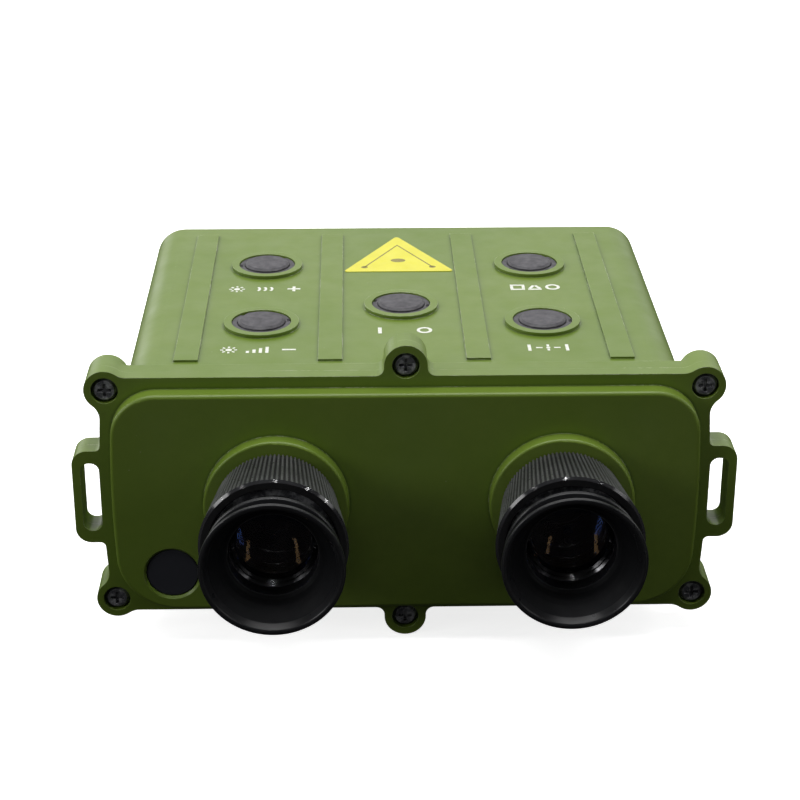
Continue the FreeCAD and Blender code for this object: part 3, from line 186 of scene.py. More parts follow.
def green_paint():
    """Semi-gloss green paint over a casting: faint orange peel, cloudy colour, worn edges, painted shade in
    inner corners and a painted highlight along the edges.
    """
    shader = Shader("green_paint_finish")
    cloud = shader.spread(shader.noise(26.0, 3.0), 0.35, 0.65)
    fine = shader.spread(shader.noise(420.0, 2.0), 0.3, 0.7)
    base = shader.mix(cloud, (0.142, 0.222, 0.024), (0.162, 0.240, 0.032))
    base = shader.mix(shader.times(fine, 0.22), base, (0.122, 0.196, 0.022))
    specks = shader.spread(shader.cells(330.0), 0.055, 0.03)
    rare = shader.spread(shader.noise(90.0, 1.0), 0.60, 0.66)
    dust = shader.times(specks, rare)
    edge = shader.edges(0.22)
    chips = shader.spread(shader.noise(520.0, 4.0, 0.7), 0.45, 0.53)
    long_wear = shader.spread(shader.noise(60.0, 2.0), 0.40, 0.54)
    worn = shader.times(shader.times(edge, chips), long_wear)
    # painted shade: a darker green in tight inner corners, at the foot of collars, ribs and bosses
    base = shader.mix(shader.times(shader.corner_shade(0.9), 0.60), base, (0.050, 0.085, 0.012))
    # painted highlight: a paler green along every edge, where light catches the rounding
    base = shader.mix(shader.times(edge, 0.5), base, (0.270, 0.375, 0.120))
    base = shader.mix(worn, base, (0.62, 0.68, 0.50))
    base = shader.mix(shader.times(dust, 0.5), base, (0.42, 0.44, 0.30))
    peel = shader.bump(shader.noise(1500.0, 2.0), 0.012, shader.soft_edges(0.16))
    rough = shader.spread(shader.noise(140.0, 3.0), 0.3, 0.7, 0.33, 0.43)
    shader.set(Base_Color=base, Roughness=rough, Normal=peel, IOR=1.5, Specular_IOR_Level=0.5)
    return shader.material


def black_anodised():
    """Satin black aluminium with grey rubbed edges."""
    shader = Shader("black_anodised_finish")
    edge = shader.times(shader.edges(0.12), shader.spread(shader.noise(700.0, 3.0), 0.40, 0.62))
    cloud = shader.spread(shader.noise(60.0, 3.0), 0.3, 0.7)
    base = shader.mix(cloud, (0.012, 0.012, 0.014), (0.021, 0.021, 0.024))
    base = shader.mix(shader.times(edge, 0.7), base, (0.20, 0.20, 0.21))
    rough = shader.spread(shader.noise(900.0, 3.0), 0.3, 0.7, 0.26, 0.40)
    grain = shader.bump(shader.noise(2600.0, 2.0), 0.004, shader.soft_edges(0.07))
    shader.set(Base_Color=base, Roughness=rough, Normal=grain, IOR=1.6)
    return shader.material


def worn_black(name, light, dark, low, high):
    """Black anodised metal rubbed by fingers, between two greys and two roughnesses."""
    shader = Shader(name)
    patch = shader.spread(shader.noise(160.0, 3.0), 0.35, 0.7)
    base = shader.mix(patch, dark, light)
    rough = shader.spread(shader.noise(1100.0, 3.0), 0.3, 0.7, low, high)
    grain = shader.bump(shader.noise(3000.0, 2.0), 0.004)
    shader.set(Base_Color=base, Roughness=rough, Normal=grain, IOR=1.6)
    return shader.material


def black_steel():
    """Black oxide steel, worn bright in patches."""
    shader = Shader("black_steel_finish")
    wear = shader.spread(shader.noise(480.0, 4.0, 0.65), 0.45, 0.62)
    edge = shader.edges(0.14)
    base = shader.mix(shader.times(edge, 0.85), (0.085, 0.087, 0.098), (0.58, 0.59, 0.62))
    base = shader.mix(shader.times(wear, 0.65), base, (0.52, 0.53, 0.55))
    rough = shader.spread(shader.noise(1500.0, 3.0), 0.3, 0.7, 0.22, 0.42)
    shader.set(Base_Color=base, Roughness=rough, Metallic=0.2, Normal=shader.soft_edges(0.08))
    return shader.material


def brass():
    shader = Shader("brass_finish")
    base = shader.mix(shader.noise(300.0, 3.0), (0.50, 0.33, 0.11), (0.66, 0.46, 0.18))
    rough = shader.spread(shader.noise(1200.0, 2.0), 0.3, 0.7, 0.22, 0.38)
    shader.set(Base_Color=base, Roughness=rough, Metallic=1.0, Normal=shader.soft_edges(0.1))
    return shader.material


def black_rubber(name, dark, light, low=0.34, high=0.46, gloss=0.26):
    """Smooth black moulded rubber with a soft sheen and paler rubbed edges."""
    shader = Shader(name)
    cloud = shader.spread(shader.noise(75.0, 4.0), 0.3, 0.7)
    base = shader.mix(cloud, dark, light)
    base = shader.mix(shader.times(shader.edges(0.35), 0.30), base, (0.060, 0.062, 0.066))
    rough = shader.spread(shader.noise(260.0, 3.0), 0.3, 0.7, low, high)
    grain = shader.bump(shader.noise(2200.0, 3.0), 0.005)
    shader.set(Base_Color=base, Roughness=rough, Normal=grain, IOR=1.5, Specular_IOR_Level=gloss)
    return shader.material


def key_rubber():
    """Grey silicone, dusty and slightly mottled."""
    shader = Shader("key_rubber_finish")
    mottle = shader.spread(shader.noise(520.0, 4.0, 0.6), 0.35, 0.65)
    base = shader.mix(mottle, (0.060, 0.057, 0.064), (0.108, 0.104, 0.114))
    pits = shader.times(shader.spread(shader.cells(1300.0), 0.16, 0.08), 0.5)
    base = shader.mix(pits, base, (0.055, 0.052, 0.060))
    rough = shader.spread(shader.noise(700.0, 3.0), 0.3, 0.7, 0.48, 0.62)
    grain = shader.bump(shader.noise(1400.0, 3.0), 0.02, shader.soft_edges(0.15))
    shader.set(Base_Color=base, Roughness=rough, Normal=grain, IOR=1.45)
    return shader.material


def optic_glass():
    """Glass with an interference coating and faint dusty streaks."""
    shader = Shader("optic_glass_finish")
    haze = shader.spread(shader.noise(150.0, 3.0), 0.35, 0.75, 0.0, 0.03)
    tint = shader.mix(shader.noise(90.0, 1.0), (0.96, 0.97, 0.99), (0.99, 0.97, 0.96))
    clear = shader.spread(shader.noise(190.0, 2.0, stretch=(1.0, 1.0, 0.45)), 0.40, 0.72, 0.99, 0.965)
    shader.set(Base_Color=tint, Roughness=haze, IOR=1.62, Transmission_Weight=clear)
    shader.set(Thin_Film_Thickness=118.0, Thin_Film_IOR=1.36)
    return shader.material


def sticker_film():
    """Yellow vinyl with a slightly uneven gloss and a scuffed edge."""
    shader = Shader("sticker_finish")
    cloud = shader.spread(shader.noise(180.0, 3.0), 0.3, 0.7)
    base = shader.mix(cloud, (0.745, 0.695, 0.030), (0.80, 0.75, 0.048))
    base = shader.mix(shader.times(shader.edges(0.12), 0.4), base, (0.95, 0.92, 0.45))
    rough = shader.spread(shader.noise(500.0, 3.0), 0.3, 0.7, 0.30, 0.42)
    shader.set(Base_Color=base, Roughness=rough, Normal=shader.bump(shader.noise(900.0, 2.0), 0.006))
    return shader.material


def print_ink(name, light, dark):
    """Screen-printed ink, a little thin in places."""
    shader = Shader(name)
    base = shader.mix(shader.spread(shader.noise(1500.0, 3.0), 0.35, 0.7), light, dark)
    rough = shader.spread(shader.noise(900.0, 2.0), 0.3, 0.7, 0.40, 0.55)
    shader.set(Base_Color=base, Roughness=rough)
    return shader.material


def circuit_board():
    shader = Shader("board_finish")
    tracks = shader.spread(shader.noise(260.0, 1.0, stretch=(1.0, 0.25, 1.0)), 0.49, 0.51)
    base = shader.mix(tracks, (0.010, 0.085, 0.030), (0.020, 0.140, 0.050))
    shader.set(Base_Color=base, Roughness=0.35, Normal=shader.bump(tracks, 0.02))
    return shader.material


def bare_metal(name, light, dark, low, high):
    """Tinned steel or blasted aluminium."""
    shader = Shader(name)
    base = shader.mix(shader.noise(350.0, 3.0), dark, light)
    rough = shader.spread(shader.noise(1400.0, 3.0), 0.3, 0.7, low, high)
    grain = shader.bump(shader.noise(2400.0, 2.0), 0.006, shader.soft_edges(0.1))
    shader.set(Base_Color=base, Roughness=rough, Metallic=1.0, Normal=grain)
    return shader.material


def plain_plastic(name, light, dark, low, high):
    shader = Shader(name)
    base = shader.mix(shader.spread(shader.noise(220.0, 3.0), 0.3, 0.7), dark, light)
    rough = shader.spread(shader.noise(800.0, 3.0), 0.3, 0.7, low, high)
    grain = shader.bump(shader.noise(1800.0, 2.0), 0.006, shader.soft_edges(0.12))
    shader.set(Base_Color=base, Roughness=rough, Normal=grain)
    return shader.material


FINISHES = {
    "green_paint": green_paint(),
    "black_anodised": black_anodised(),
    "black_steel": black_steel(),
    "brass": brass(),
    "black_rubber": black_rubber("black_rubber_finish", (0.0070, 0.0073, 0.0088), (0.0105, 0.0108, 0.0125)),
    "key_rubber": key_rubber(),
    "optic_glass": optic_glass(),
    "sticker": sticker_film(),
    "board": circuit_board(),
    "metal_can": bare_metal("metal_can_finish", (0.62, 0.62, 0.63), (0.45, 0.45, 0.46), 0.22, 0.38),
    "inner_aluminium": bare_metal(
        "inner_aluminium_finish", (0.40, 0.40, 0.41), (0.30, 0.30, 0.31), 0.45, 0.6),
    "wrap": plain_plastic("wrap_finish", (0.05, 0.12, 0.40), (0.04, 0.09, 0.32), 0.25, 0.4),
    "black_plastic": plain_plastic(
        "black_plastic_finish", (0.020, 0.020, 0.022), (0.012, 0.012, 0.013), 0.4, 0.55),
}
# one anodised metal in painted light and shade: lighter rib tops, and near-black grooves, bore and faces
GRIP_FINISHES = [
    worn_black("lit_rib_top_finish", (0.088, 0.089, 0.092), (0.050, 0.051, 0.053), 0.26, 0.42),
    worn_black("shade_black_finish", (0.008, 0.008, 0.009), (0.005, 0.005, 0.006), 0.45, 0.60),
    worn_black("polished_black", (0.030, 0.030, 0.032), (0.018, 0.018, 0.020), 0.09, 0.13),
]
LIT_RIB_TOP, SHADE_BLACK, POLISHED = range(3)
RETAINER_FINISH = bare_metal("retainer_finish", (0.17, 0.17, 0.175), (0.10, 0.10, 0.105), 0.12, 0.20)
CUP_FINISHES = [
    FINISHES["black_rubber"],
    # a lighter, glossier rubber for the bead's crest, the rim and its lip: a painted sheen
    black_rubber("rim_sheen_rubber_finish", (0.011, 0.0114, 0.0128), (0.018, 0.0185, 0.0205), 0.26, 0.36, 0.36),
    black_rubber("matt_rubber_finish", (0.0070, 0.0073, 0.0085), (0.0150, 0.0154, 0.0175), 0.50, 0.64, 0.14),
]
SMOOTH, RIM_SHEEN, MATT = range(3)
PLUG_RUBBER = black_rubber("plug_rubber_finish", (0.036, 0.038, 0.047), (0.044, 0.046, 0.056))
WHITE_INK = print_ink("white_ink", (0.90, 0.91, 0.86), (0.72, 0.75, 0.62))
BROWN_INK = print_ink("brown_ink", (0.33, 0.29, 0.07), (0.24, 0.20, 0.06))


def paint_nodes():
    """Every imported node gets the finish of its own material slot; the plug's rubber is a little paler."""
    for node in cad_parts.values():
        for slot in node.material_slots:
            slot.material = FINISHES[slot.material.name]
    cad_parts["port_plug"].material_slots[0].material = PLUG_RUBBER


# --- Mesh helpers ---------------------------------------------------------------------------------

SHARP_ANGLE = math.radians(38)
CORNER_STEPS = 6
CORNER_SHARE = 0.48       # a rounding takes no more than this share of the edge on each side


def add_piece(name, mesh_edit, body, slot, *materials):
    """A finished mesh as a piece that rides on a body."""
    mesh = bpy.data.meshes.new(name)
    bmesh.ops.recalc_face_normals(mesh_edit, faces=mesh_edit.faces)
    mesh_edit.to_mesh(mesh)
    mesh_edit.free()
    mesh.shade_smooth()
    mesh.set_sharp_from_angle(angle=SHARP_ANGLE)
    for material in materials:
        mesh.materials.append(material)
    piece = bpy.data.objects.new(name, mesh)
    bpy.context.scene.collection.objects.link(piece)
    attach(piece, body)
    return piece


def rounded(corners):
    """The closed outline through (across, along, rounding) corners, each rounded one as a short curve."""
    points = []
    for index, (across, along, rounding) in enumerate(corners):
        here = Vector((across, along))
        if rounding == 0:
            points.append(here)
            continue
        back = Vector(corners[index - 1][:2]) - here
        ahead = Vector(corners[(index + 1) % len(corners)][:2]) - here
        room = CORNER_SHARE * min(back.length, ahead.length)
        reach = min(rounding / math.tan(back.angle(ahead) / 2), room)
        start, end = here + back.normalized() * reach, here + ahead.normalized() * reach
        for step in range(CORNER_STEPS + 1):
            t = step / CORNER_STEPS
            points.append((1 - t) ** 2 * start + 2 * t * (1 - t) * here + t * t * end)
    return points


def unchanged(angle, index):
    return 0.0, 0.0


def first_finish(angle, index):
    return 0


def add_lathe(mesh_edit, outline, place, turns, shift=unchanged, paint=first_finish):
    """A closed ring: the outline's (radius, station) points turned about an axis.

    place(radius, angle, station) gives the point. For an angle and a point's index, shift gives a change of
    radius and station, and paint gives the material of the face that starts there.
    """
    rings = []
    angles = [2 * math.pi * turn / turns for turn in range(turns)]
    for angle in angles:
        ring = []
        for index, (radius, station) in enumerate(outline):
            out, along = shift(angle, index)
            ring.append(mesh_edit.verts.new(place(radius + out, angle, station + along)))
        rings.append(ring)
    count = len(outline)
    for turn, angle in enumerate(angles):
        here, there = rings[turn], rings[(turn + 1) % turns]
        for index in range(count):
            following = (index + 1) % count
            face = mesh_edit.faces.new((here[index], here[following], there[following], there[index]))
            face.material_index = paint(angle, index)


def facing_back(centre_x, centre_z):
    """Stations count backwards from the flange face, towards the user's eye."""
    def place(radius, angle, station):
        x, z = centre_x + radius * math.sin(angle), centre_z + radius * math.cos(angle)
        return Vector((x, -station, z)) * MM
    return place


def facing_up(centre_x, centre_y):
    """Stations are heights."""
    def place(radius, angle, station):
        x, y = centre_x + radius * math.sin(angle), centre_y + radius * math.cos(angle)
        return Vector((x, y, station)) * MM
    return place


def add_slab(mesh_edit, outline, bottom, top):
    """A flat plate between two heights over a closed (x, y) outline in order."""
    low = [mesh_edit.verts.new(Vector((x, y, bottom)) * MM) for x, y in outline]
    high = [mesh_edit.verts.new(Vector((x, y, top)) * MM) for x, y in outline]
    mesh_edit.faces.new(low[::-1])
    mesh_edit.faces.new(high)
    count = len(outline)
    for index in range(count):
        following = (index + 1) % count
        mesh_edit.faces.new((low[index], low[following], high[following], high[index]))


def add_band(mesh_edit, outer, inner, bottom, top, closed=True):
    """A flat strip between two outlines with the same number of points."""
    levels = []
    for outline, level in ((outer, bottom), (outer, top), (inner, top), (inner, bottom)):
        levels.append([mesh_edit.verts.new(Vector((x, y, level)) * MM) for x, y in outline])
    count = len(outer)
    for index in range(count if closed else count - 1):
        following = (index + 1) % count
        for here, there in zip(levels, levels[1:] + levels[:1]):
            mesh_edit.faces.new((here[index], here[following], there[following], there[index]))
    if not closed:
        for end in (0, count - 1):
            mesh_edit.faces.new([level[end] for level in levels])


# --- Eyepieces ------------------------------------------------------------------------------------

RIB_COUNT = 93
STEPS_PER_RIB = 8
RIB_DEPTH = 0.45
RIB_SHARPNESS = 1.3       # above 1 the rib tops are wider than the grooves
GROOVE_START = 0.55       # share of the rib wave above which the surface counts as groove
RING_TAPER = 2.6          # the grip's radius grows by this from its back end to its front end
RING_BACK_DROP = 0.5
RING_CHAMFER = 0.55
RING_MOUTH_CHAMFER = 0.25
RING_COUNTERBORE = 14.3
RING_COUNTERBORE_DEPTH = 2.7
RING_BORE = 12.7
KNURL_STATIONS = 7
KNURL_MARGIN = 0.35


def eyepiece_part(node):
    """A node's corners, and how a lathe places points about the node's own axis."""
    low, high = node_box(node)
    return low, high, facing_back((low.x + high.x) / 2, (low.z + high.z) / 2)


def knurled_ring(side):
    """Tapered grip ring with fine ribs that end in a bright chamfer at the front."""
    low, high, place = eyepiece_part(side + "_diopter_ring")
    large = (high.x - low.x) / 2
    small = large - RING_TAPER
    back, front = -high.y, -low.y
    chamfer_start, shelf = front - RING_CHAMFER, front - RING_COUNTERBORE_DEPTH
    outline = [(RING_BORE, back), (small - RING_BACK_DROP, back)]
    first = len(outline)
    ribs_end = chamfer_start - KNURL_MARGIN
    for step in range(KNURL_STATIONS):
        station = back + KNURL_MARGIN + (ribs_end - back - KNURL_MARGIN) * step / (KNURL_STATIONS - 1)
        outline.append((small + (large - small) * (station - back) / (chamfer_start - back), station))
    last = len(outline) - 1
    outline += [(large, chamfer_start), (large - RING_CHAMFER, front)]
    chamfer = last + 1
    outline.append((RING_COUNTERBORE + RING_MOUTH_CHAMFER, front))
    outline.append((RING_COUNTERBORE, front - RING_MOUTH_CHAMFER))
    outline += [(RING_COUNTERBORE, shelf), (RING_BORE, shelf)]

    def wave(angle):
        return 0.5 - 0.5 * math.cos(RIB_COUNT * angle)

    def groove(angle, index):
        return (-RIB_DEPTH * wave(angle) ** RIB_SHARPNESS if first <= index <= last else 0.0), 0.0

    def finish(angle, index):
        if index == chamfer:
            return POLISHED
        # painted shade on the ring's faces and bore; below, painted shade in the grooves and painted light
        # on the rib tops
        if not first <= index <= last:
            return SHADE_BLACK
        middle = angle + math.pi / (RIB_COUNT * STEPS_PER_RIB)
        return SHADE_BLACK if wave(middle) > GROOVE_START and index < last else LIT_RIB_TOP

    mesh_edit = bmesh.new()
    add_lathe(mesh_edit, outline, place, RIB_COUNT * STEPS_PER_RIB, groove, finish)
    ring = add_piece(side + "_grip_ring", mesh_edit, side + "_ring_body", "black_anodised", *GRIP_FINISHES)
    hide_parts(side + "_diopter_ring")


CUP_OUTLINE = [
    # radius, distance behind the rim, rounding
    (12.6, 6.9, 0.1), (13.6, 6.9, 0.3), (13.6, 6.3, 0.15), (15.0, 6.0, 0.45), (15.0, 4.85, 0.55),
    (13.65, 4.45, 0.3), (13.6, 3.4, 0.5), (15.85, 0.95, 0.35), (15.85, 0.0, 0.42), (14.75, 0.0, 0.75),
    (13.75, 1.7, 1.0), (12.2, 3.9, 1.5), (11.45, 5.2, 0.8), (10.8, 6.8, 0.6), (10.05, 7.4, 0.0),
    (11.9, 7.4, 0.0), (11.9, 5.1, 0.0), (12.6, 5.1, 0.0),
]
CUP_TURNS = 160
SHEEN_RADIUS = 14.85     # the bead's crest and the rim reach beyond this
LIP_RADIUS = 14.3
LIP_DEPTH = 0.6
RIM_TOLERANCE = 0.01


def rubber_eyecup(side):
    """Eyecup with a bead behind its rolled rim and a smooth funnel."""
    low, _, place = eyepiece_part(side + "_eyecup")
    rim = -low.y
    outline = [(point.x, rim - point.y) for point in rounded(CUP_OUTLINE)]
    front = max(index for index, (_, station) in enumerate(outline) if station > rim - RIM_TOLERANCE)

    def finish(angle, index):
        radius, station = outline[index]
        # the bead's crest, the rim and its lip get the lighter rubber of the painted sheen
        if radius > SHEEN_RADIUS or (radius > LIP_RADIUS and station > rim - LIP_DEPTH):
            return RIM_SHEEN
        return MATT if index > front else SMOOTH

    mesh_edit = bmesh.new()
    add_lathe(mesh_edit, outline, place, CUP_TURNS, paint=finish)
    cup = add_piece(side + "_rubber_cup", mesh_edit, side + "_barrel_body", "black_rubber", *CUP_FINISHES)
    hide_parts(side + "_eyecup")


RETAINER_OUTLINE = [
    # radius, distance behind the ring's back face
    (8.7, 2.2), (9.85, 2.2), (9.85, 0.0), (9.8, 0.0), (9.25, 0.55), (9.25, 1.0), (8.7, 1.55),
]
RETAINER_FACE = (2, 3, 4, 5)
RETAINER_NOTCH = 0.075    # radians to each side of a notch's middle
RETAINER_NOTCH_DEPTH = 0.7


def lens_retainer(side):
    """Polished stepped ring with two notches in front of the eye lens."""
    low, _, place = eyepiece_part(side + "_lens_ring")
    outline = [(radius, -low.y - depth) for radius, depth in RETAINER_OUTLINE]

    def notch(angle, index):
        notched = abs(math.cos(angle)) < RETAINER_NOTCH and index in RETAINER_FACE
        return 0.0, (-RETAINER_NOTCH_DEPTH if notched else 0.0)

    mesh_edit = bmesh.new()
    add_lathe(mesh_edit, outline, place, CUP_TURNS, notch)
    ring = add_piece(side + "_retainer", mesh_edit, side + "_barrel_body", "black_anodised", RETAINER_FINISH)
    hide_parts(side + "_lens_ring")


BARREL_BORE = 8.36
STOP_RINGS = [
    # opening radius, distance in front of the lens ring's back face
    (7.5, 9.0), (6.6, 13.0), (5.6, 17.5), (3.2, 22.5),
]
STOP_THICKNESS = 0.8
STOP_EDGE = 0.25


def glare_stops(side):
    """Black rings of falling size inside the lens barrel that keep stray light off the eye."""
    low, _, place = eyepiece_part(side + "_lens_ring")
    mesh_edit = bmesh.new()
    for opening, depth in STOP_RINGS:
        back = -low.y - depth
        front = back - STOP_THICKNESS
        outline = [(opening, front), (BARREL_BORE, front), (BARREL_BORE, back), (opening + STOP_EDGE, back)]
        outline.append((opening, back - STOP_EDGE))
        add_lathe(mesh_edit, outline, place, CUP_TURNS)
    body = side + "_barrel_body"
    add_piece(side + "_glare_stops", mesh_edit, body, "black_anodised", GRIP_FINISHES[POLISHED])


# --- Keys -----------------------------------------------------------------------------------------

KEY_RING_TURNS = 120
KEY_RING_BORE = 5.68
KEY_RING_RADIUS = 7.12
KEY_RING_CHAMFER = 0.2
KEY_RING_MOUTH = 0.15
NOTCH_RADII = (6.35, 6.25)  # a notch's wall, at its foot and at its top
NOTCHED_POINTS = (2, 3, 4)
NOTCH_REACH = 0.11        # radians to each side of a notch's middle
NOTCH_DEPTH = 0.45
NOTCH_ANGLES = {          # degrees from straight ahead, clockwise
    "strobe_key": (35, 150, 265), "light_key": (80, 200, 320), "power_key": (100, 195, 290),
    "mode_key": (40, 140, 230), "measure_key": (5, 95, 175),
}


def key_rings():
    """The rings that hold the keys down, each with three notches turned its own way."""
    low, high = node_box("key_retaining_rings")
    bottom, top = low.z, high.z
    outline = [
        (KEY_RING_BORE, bottom), (KEY_RING_RADIUS, bottom),
        (KEY_RING_RADIUS, top - KEY_RING_CHAMFER), (KEY_RING_RADIUS - KEY_RING_CHAMFER, top),
        *((radius, top) for radius in NOTCH_RADII),
        (KEY_RING_BORE + KEY_RING_MOUTH, top), (KEY_RING_BORE, top - KEY_RING_MOUTH),
    ]
    mesh_edit = bmesh.new()
    for key, degrees in NOTCH_ANGLES.items():
        key_low, key_high = node_box(key)
        middles = [math.radians(degree) for degree in degrees]

        def notch(angle, index, middles=middles):
            near = any(math.cos(angle - middle) > math.cos(NOTCH_REACH) for middle in middles)
            return 0.0, (-NOTCH_DEPTH if near and index in NOTCHED_POINTS else 0.0)

        centre = (key_low + key_high) / 2
        add_lathe(mesh_edit, outline, facing_up(centre.x, centre.y), KEY_RING_TURNS, notch)
    rings = add_piece("key_ring_set", mesh_edit, "housing", "black_anodised", FINISHES["key_rubber"])
    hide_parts("key_retaining_rings")


# --- Marks ----------------------------------------------------------------------------------------

MARK_HEIGHT = 3.7
MARK_STROKE = 0.75
MARK_RAISE = 0.05
CURVE_STEPS = 28
FULL_TURN = [2 * math.pi * step / CURVE_STEPS for step in range(CURVE_STEPS)]


class Mark:
    """White printed signs on the top face, drawn about a middle point."""

    def __init__(self, x, y, level):
        self.mesh_edit = bmesh.new()
        self.x, self.y = x, y
        self.bottom, self.top = level - MARK_RAISE, level + MARK_RAISE

    def bar(self, x, y, length, angle=0.0, stroke=MARK_STROKE):
        along = Vector((math.cos(angle), math.sin(angle))) * length / 2
        aside = Vector((-math.sin(angle), math.cos(angle))) * stroke / 2
        middle = Vector((self.x + x, self.y + y))
        start, end = middle - along, middle + along
        corners = [start - aside, end - aside, end + aside, start + aside]
        add_slab(self.mesh_edit, corners, self.bottom, self.top)

    def around(self, x, y, radius, angles):
        return [(self.x + x + radius * math.cos(a), self.y + y + radius * math.sin(a)) for a in angles]

    def ring(self, x, y, radius, start=0.0, sweep=2 * math.pi, stroke=MARK_STROKE):
        closed = sweep >= 2 * math.pi
        steps = CURVE_STEPS if closed else CURVE_STEPS + 1
        angles = [start + sweep * step / CURVE_STEPS for step in range(steps)]
        outlines = [self.around(x, y, reach, angles) for reach in (radius, radius - stroke)]
        add_band(self.mesh_edit, *outlines, self.bottom, self.top, closed)

    def disc(self, x, y, radius):
        add_slab(self.mesh_edit, self.around(x, y, radius, FULL_TURN), self.bottom, self.top)

    def finish(self, name):
        add_piece(name, self.mesh_edit, "housing", "sticker", WHITE_INK)


def draw_plus(mark, x):
    mark.bar(x, 0, 3.2)
    for half in (-1, 1):
        mark.bar(x, half * 1.0, 1.25, math.pi / 2)


def draw_minus(mark, x):
    mark.bar(x, 0, 3.2)


def draw_burst(mark, x):
    """A disc with eight short rays: a flashing light."""
    mark.disc(x, 0, 0.75)
    for ray in range(8):
        angle = ray * math.pi / 4
        mark.bar(x + 1.6 * math.cos(angle), 1.6 * math.sin(angle), 0.75, angle, 0.5)


def draw_waves(mark, x):
    for step in range(3):
        mark.ring(x + step * 1.55 - 2.4, 0, 2.0, -0.75, 1.5, 0.62)


def draw_rising_bars(mark, x):
    """Four bars that grow: brightness."""
    for step in range(4):
        height = 1.2 + 0.8 * step
        mark.bar(x + 1.5 * step - 2.2, (height - MARK_HEIGHT) / 2, height, math.pi / 2)


def strobe_mark(mark):
    draw_burst(mark, -7.0)
    draw_waves(mark, -0.6)
    draw_plus(mark, 7.2)


def light_mark(mark):
    draw_burst(mark, -7.0)
    draw_rising_bars(mark, -0.4)
    draw_minus(mark, 7.0)


def power_mark(mark):
    """An upright bar for on and a ring for off."""
    mark.bar(-5.4, 0, MARK_HEIGHT, math.pi / 2, 0.9)
    mark.ring(5.2, 0, 1.85)


def mode_mark(mark):
    """A square, a triangle and a ring in turn."""
    for offset in (-1.45, 1.45):
        mark.bar(-4.2, offset, 3.6)
    for offset in (-1.45, 1.45):
        mark.bar(-4.2 + offset, 0, 2.1, math.pi / 2)
    mark.bar(0.1, -1.45, 3.4)
    mark.bar(-0.65, 0.1, 2.3, math.radians(62))
    mark.bar(0.85, 0.1, 2.3, math.radians(118))
    mark.ring(4.6, 0, 1.85)


def measure_mark(mark):
    """A gapped cross about a dot between two upright bars."""
    for side in (-1, 1):
        mark.bar(side * 4.4, 0, MARK_HEIGHT, math.pi / 2)
        mark.bar(side * 2.1, 0, 1.5, 0.0, 0.6)
        mark.bar(0, side * 1.25, 1.1, math.pi / 2, 0.6)
    mark.disc(0, 0, 0.5)


MARKS = {
    "strobe_key": strobe_mark, "light_key": light_mark, "power_key": power_mark,
    "mode_key": mode_mark, "measure_key": measure_mark,
}
COLLAR_RADIUS = 9.0
MARK_GAP = 6.8            # from a key's collar to the middle of its mark


def key_marks():
    level = node_box("triangle_sticker")[0].z
    for key, draw in MARKS.items():
        low, high = node_box(key)
        mark = Mark((low.x + high.x) / 2, (low.y + high.y) / 2 - COLLAR_RADIUS - MARK_GAP, level)
        draw(mark)
        mark.finish(key.replace("_key", "_mark"))


# --- Sticker --------------------------------------------------------------------------------------

BORDER_SHARE = 0.66       # the printed line's triangle over the sticker's
BORDER_STEP = 0.05
PRINT_RAISE = 0.02
DOT_SIZE = (0.85, 0.75)   # half width and half height
SPOT_SIZE = (1.9, 1.3)
SPOT_DROP = 0.6


def ellipse(centre, across, along):
    return [(centre.x + across * math.cos(a), centre.y + along * math.sin(a)) for a in FULL_TURN]


def sticker_print():
    """A thin line inside two of the sticker's edges that ends in two dots, and a plain spot."""
    low, high = node_box("triangle_sticker")
    top = Vector(((low.x + high.x) / 2, high.y))
    corners = [Vector((low.x, low.y)), top, Vector((high.x, low.y))]
    middle = sum(corners, Vector((0, 0))) / 3
    outer = [middle + (corner - middle) * BORDER_SHARE for corner in corners]
    inner = [middle + (corner - middle) * (BORDER_SHARE - BORDER_STEP) for corner in corners]
    levels = (high.z - PRINT_RAISE, high.z + PRINT_RAISE)
    mesh_edit = bmesh.new()
    add_band(mesh_edit, outer, inner, *levels, closed=False)
    for end in (0, 2):
        add_slab(mesh_edit, ellipse((outer[end] + inner[end]) / 2, *DOT_SIZE), *levels)
    add_slab(mesh_edit, ellipse(middle - Vector((0, SPOT_DROP)), *SPOT_SIZE), *levels)
    add_piece("sticker_print", mesh_edit, "housing", "sticker", BROWN_INK)


# --- Stage ----------------------------------------------------------------------------------------

# Places and sizes here are metres, and powers are watts.
FLOOR_HALF_SIZE = 3.0
FLOOR_GLOW = 0.80
FOCAL_SHARE = 2.53225     # focal length over the picture's width
SENSOR_WIDTH = 36.0
CAMERA_PLACE = (-0.01142, -0.41666, 0.21072)
CAMERA_YAW = math.radians(1.39)
CAMERA_PITCH = math.radians(24.15)
CAMERA_ROLL = math.radians(-0.087)
CAMERA_NEAR = 0.01


def floor():
    """A pale floor that glows a little and is seen by the camera only, so it throws no light back."""
    mesh_edit = bmesh.new()
    level = CAD_BOX[0][2]
    corners = [(-1, -1), (1, -1), (1, 1), (-1, 1)]
    places = [(x * FLOOR_HALF_SIZE, y * FLOOR_HALF_SIZE, level) for x, y in corners]
    mesh_edit.faces.new([mesh_edit.verts.new(place) for place in places])
    mesh = bpy.data.meshes.new("floor")
    mesh_edit.to_mesh(mesh)
    mesh_edit.free()
    piece = bpy.data.objects.new("floor", mesh)
    bpy.context.scene.collection.objects.link(piece)
    shader = Shader("floor_finish")
    base = shader.mix(shader.noise(6.0, 2.0), (0.93, 0.93, 0.93), (0.95, 0.95, 0.95))
    shader.set(Base_Color=base, Roughness=0.9, Specular_IOR_Level=0.1)
    shader.set(Emission_Color=(1.0, 1.0, 1.0), Emission_Strength=FLOOR_GLOW)
    mesh.materials.append(shader.material)
    piece.visible_diffuse = False
    piece.visible_glossy = False
    piece.visible_transmission = False


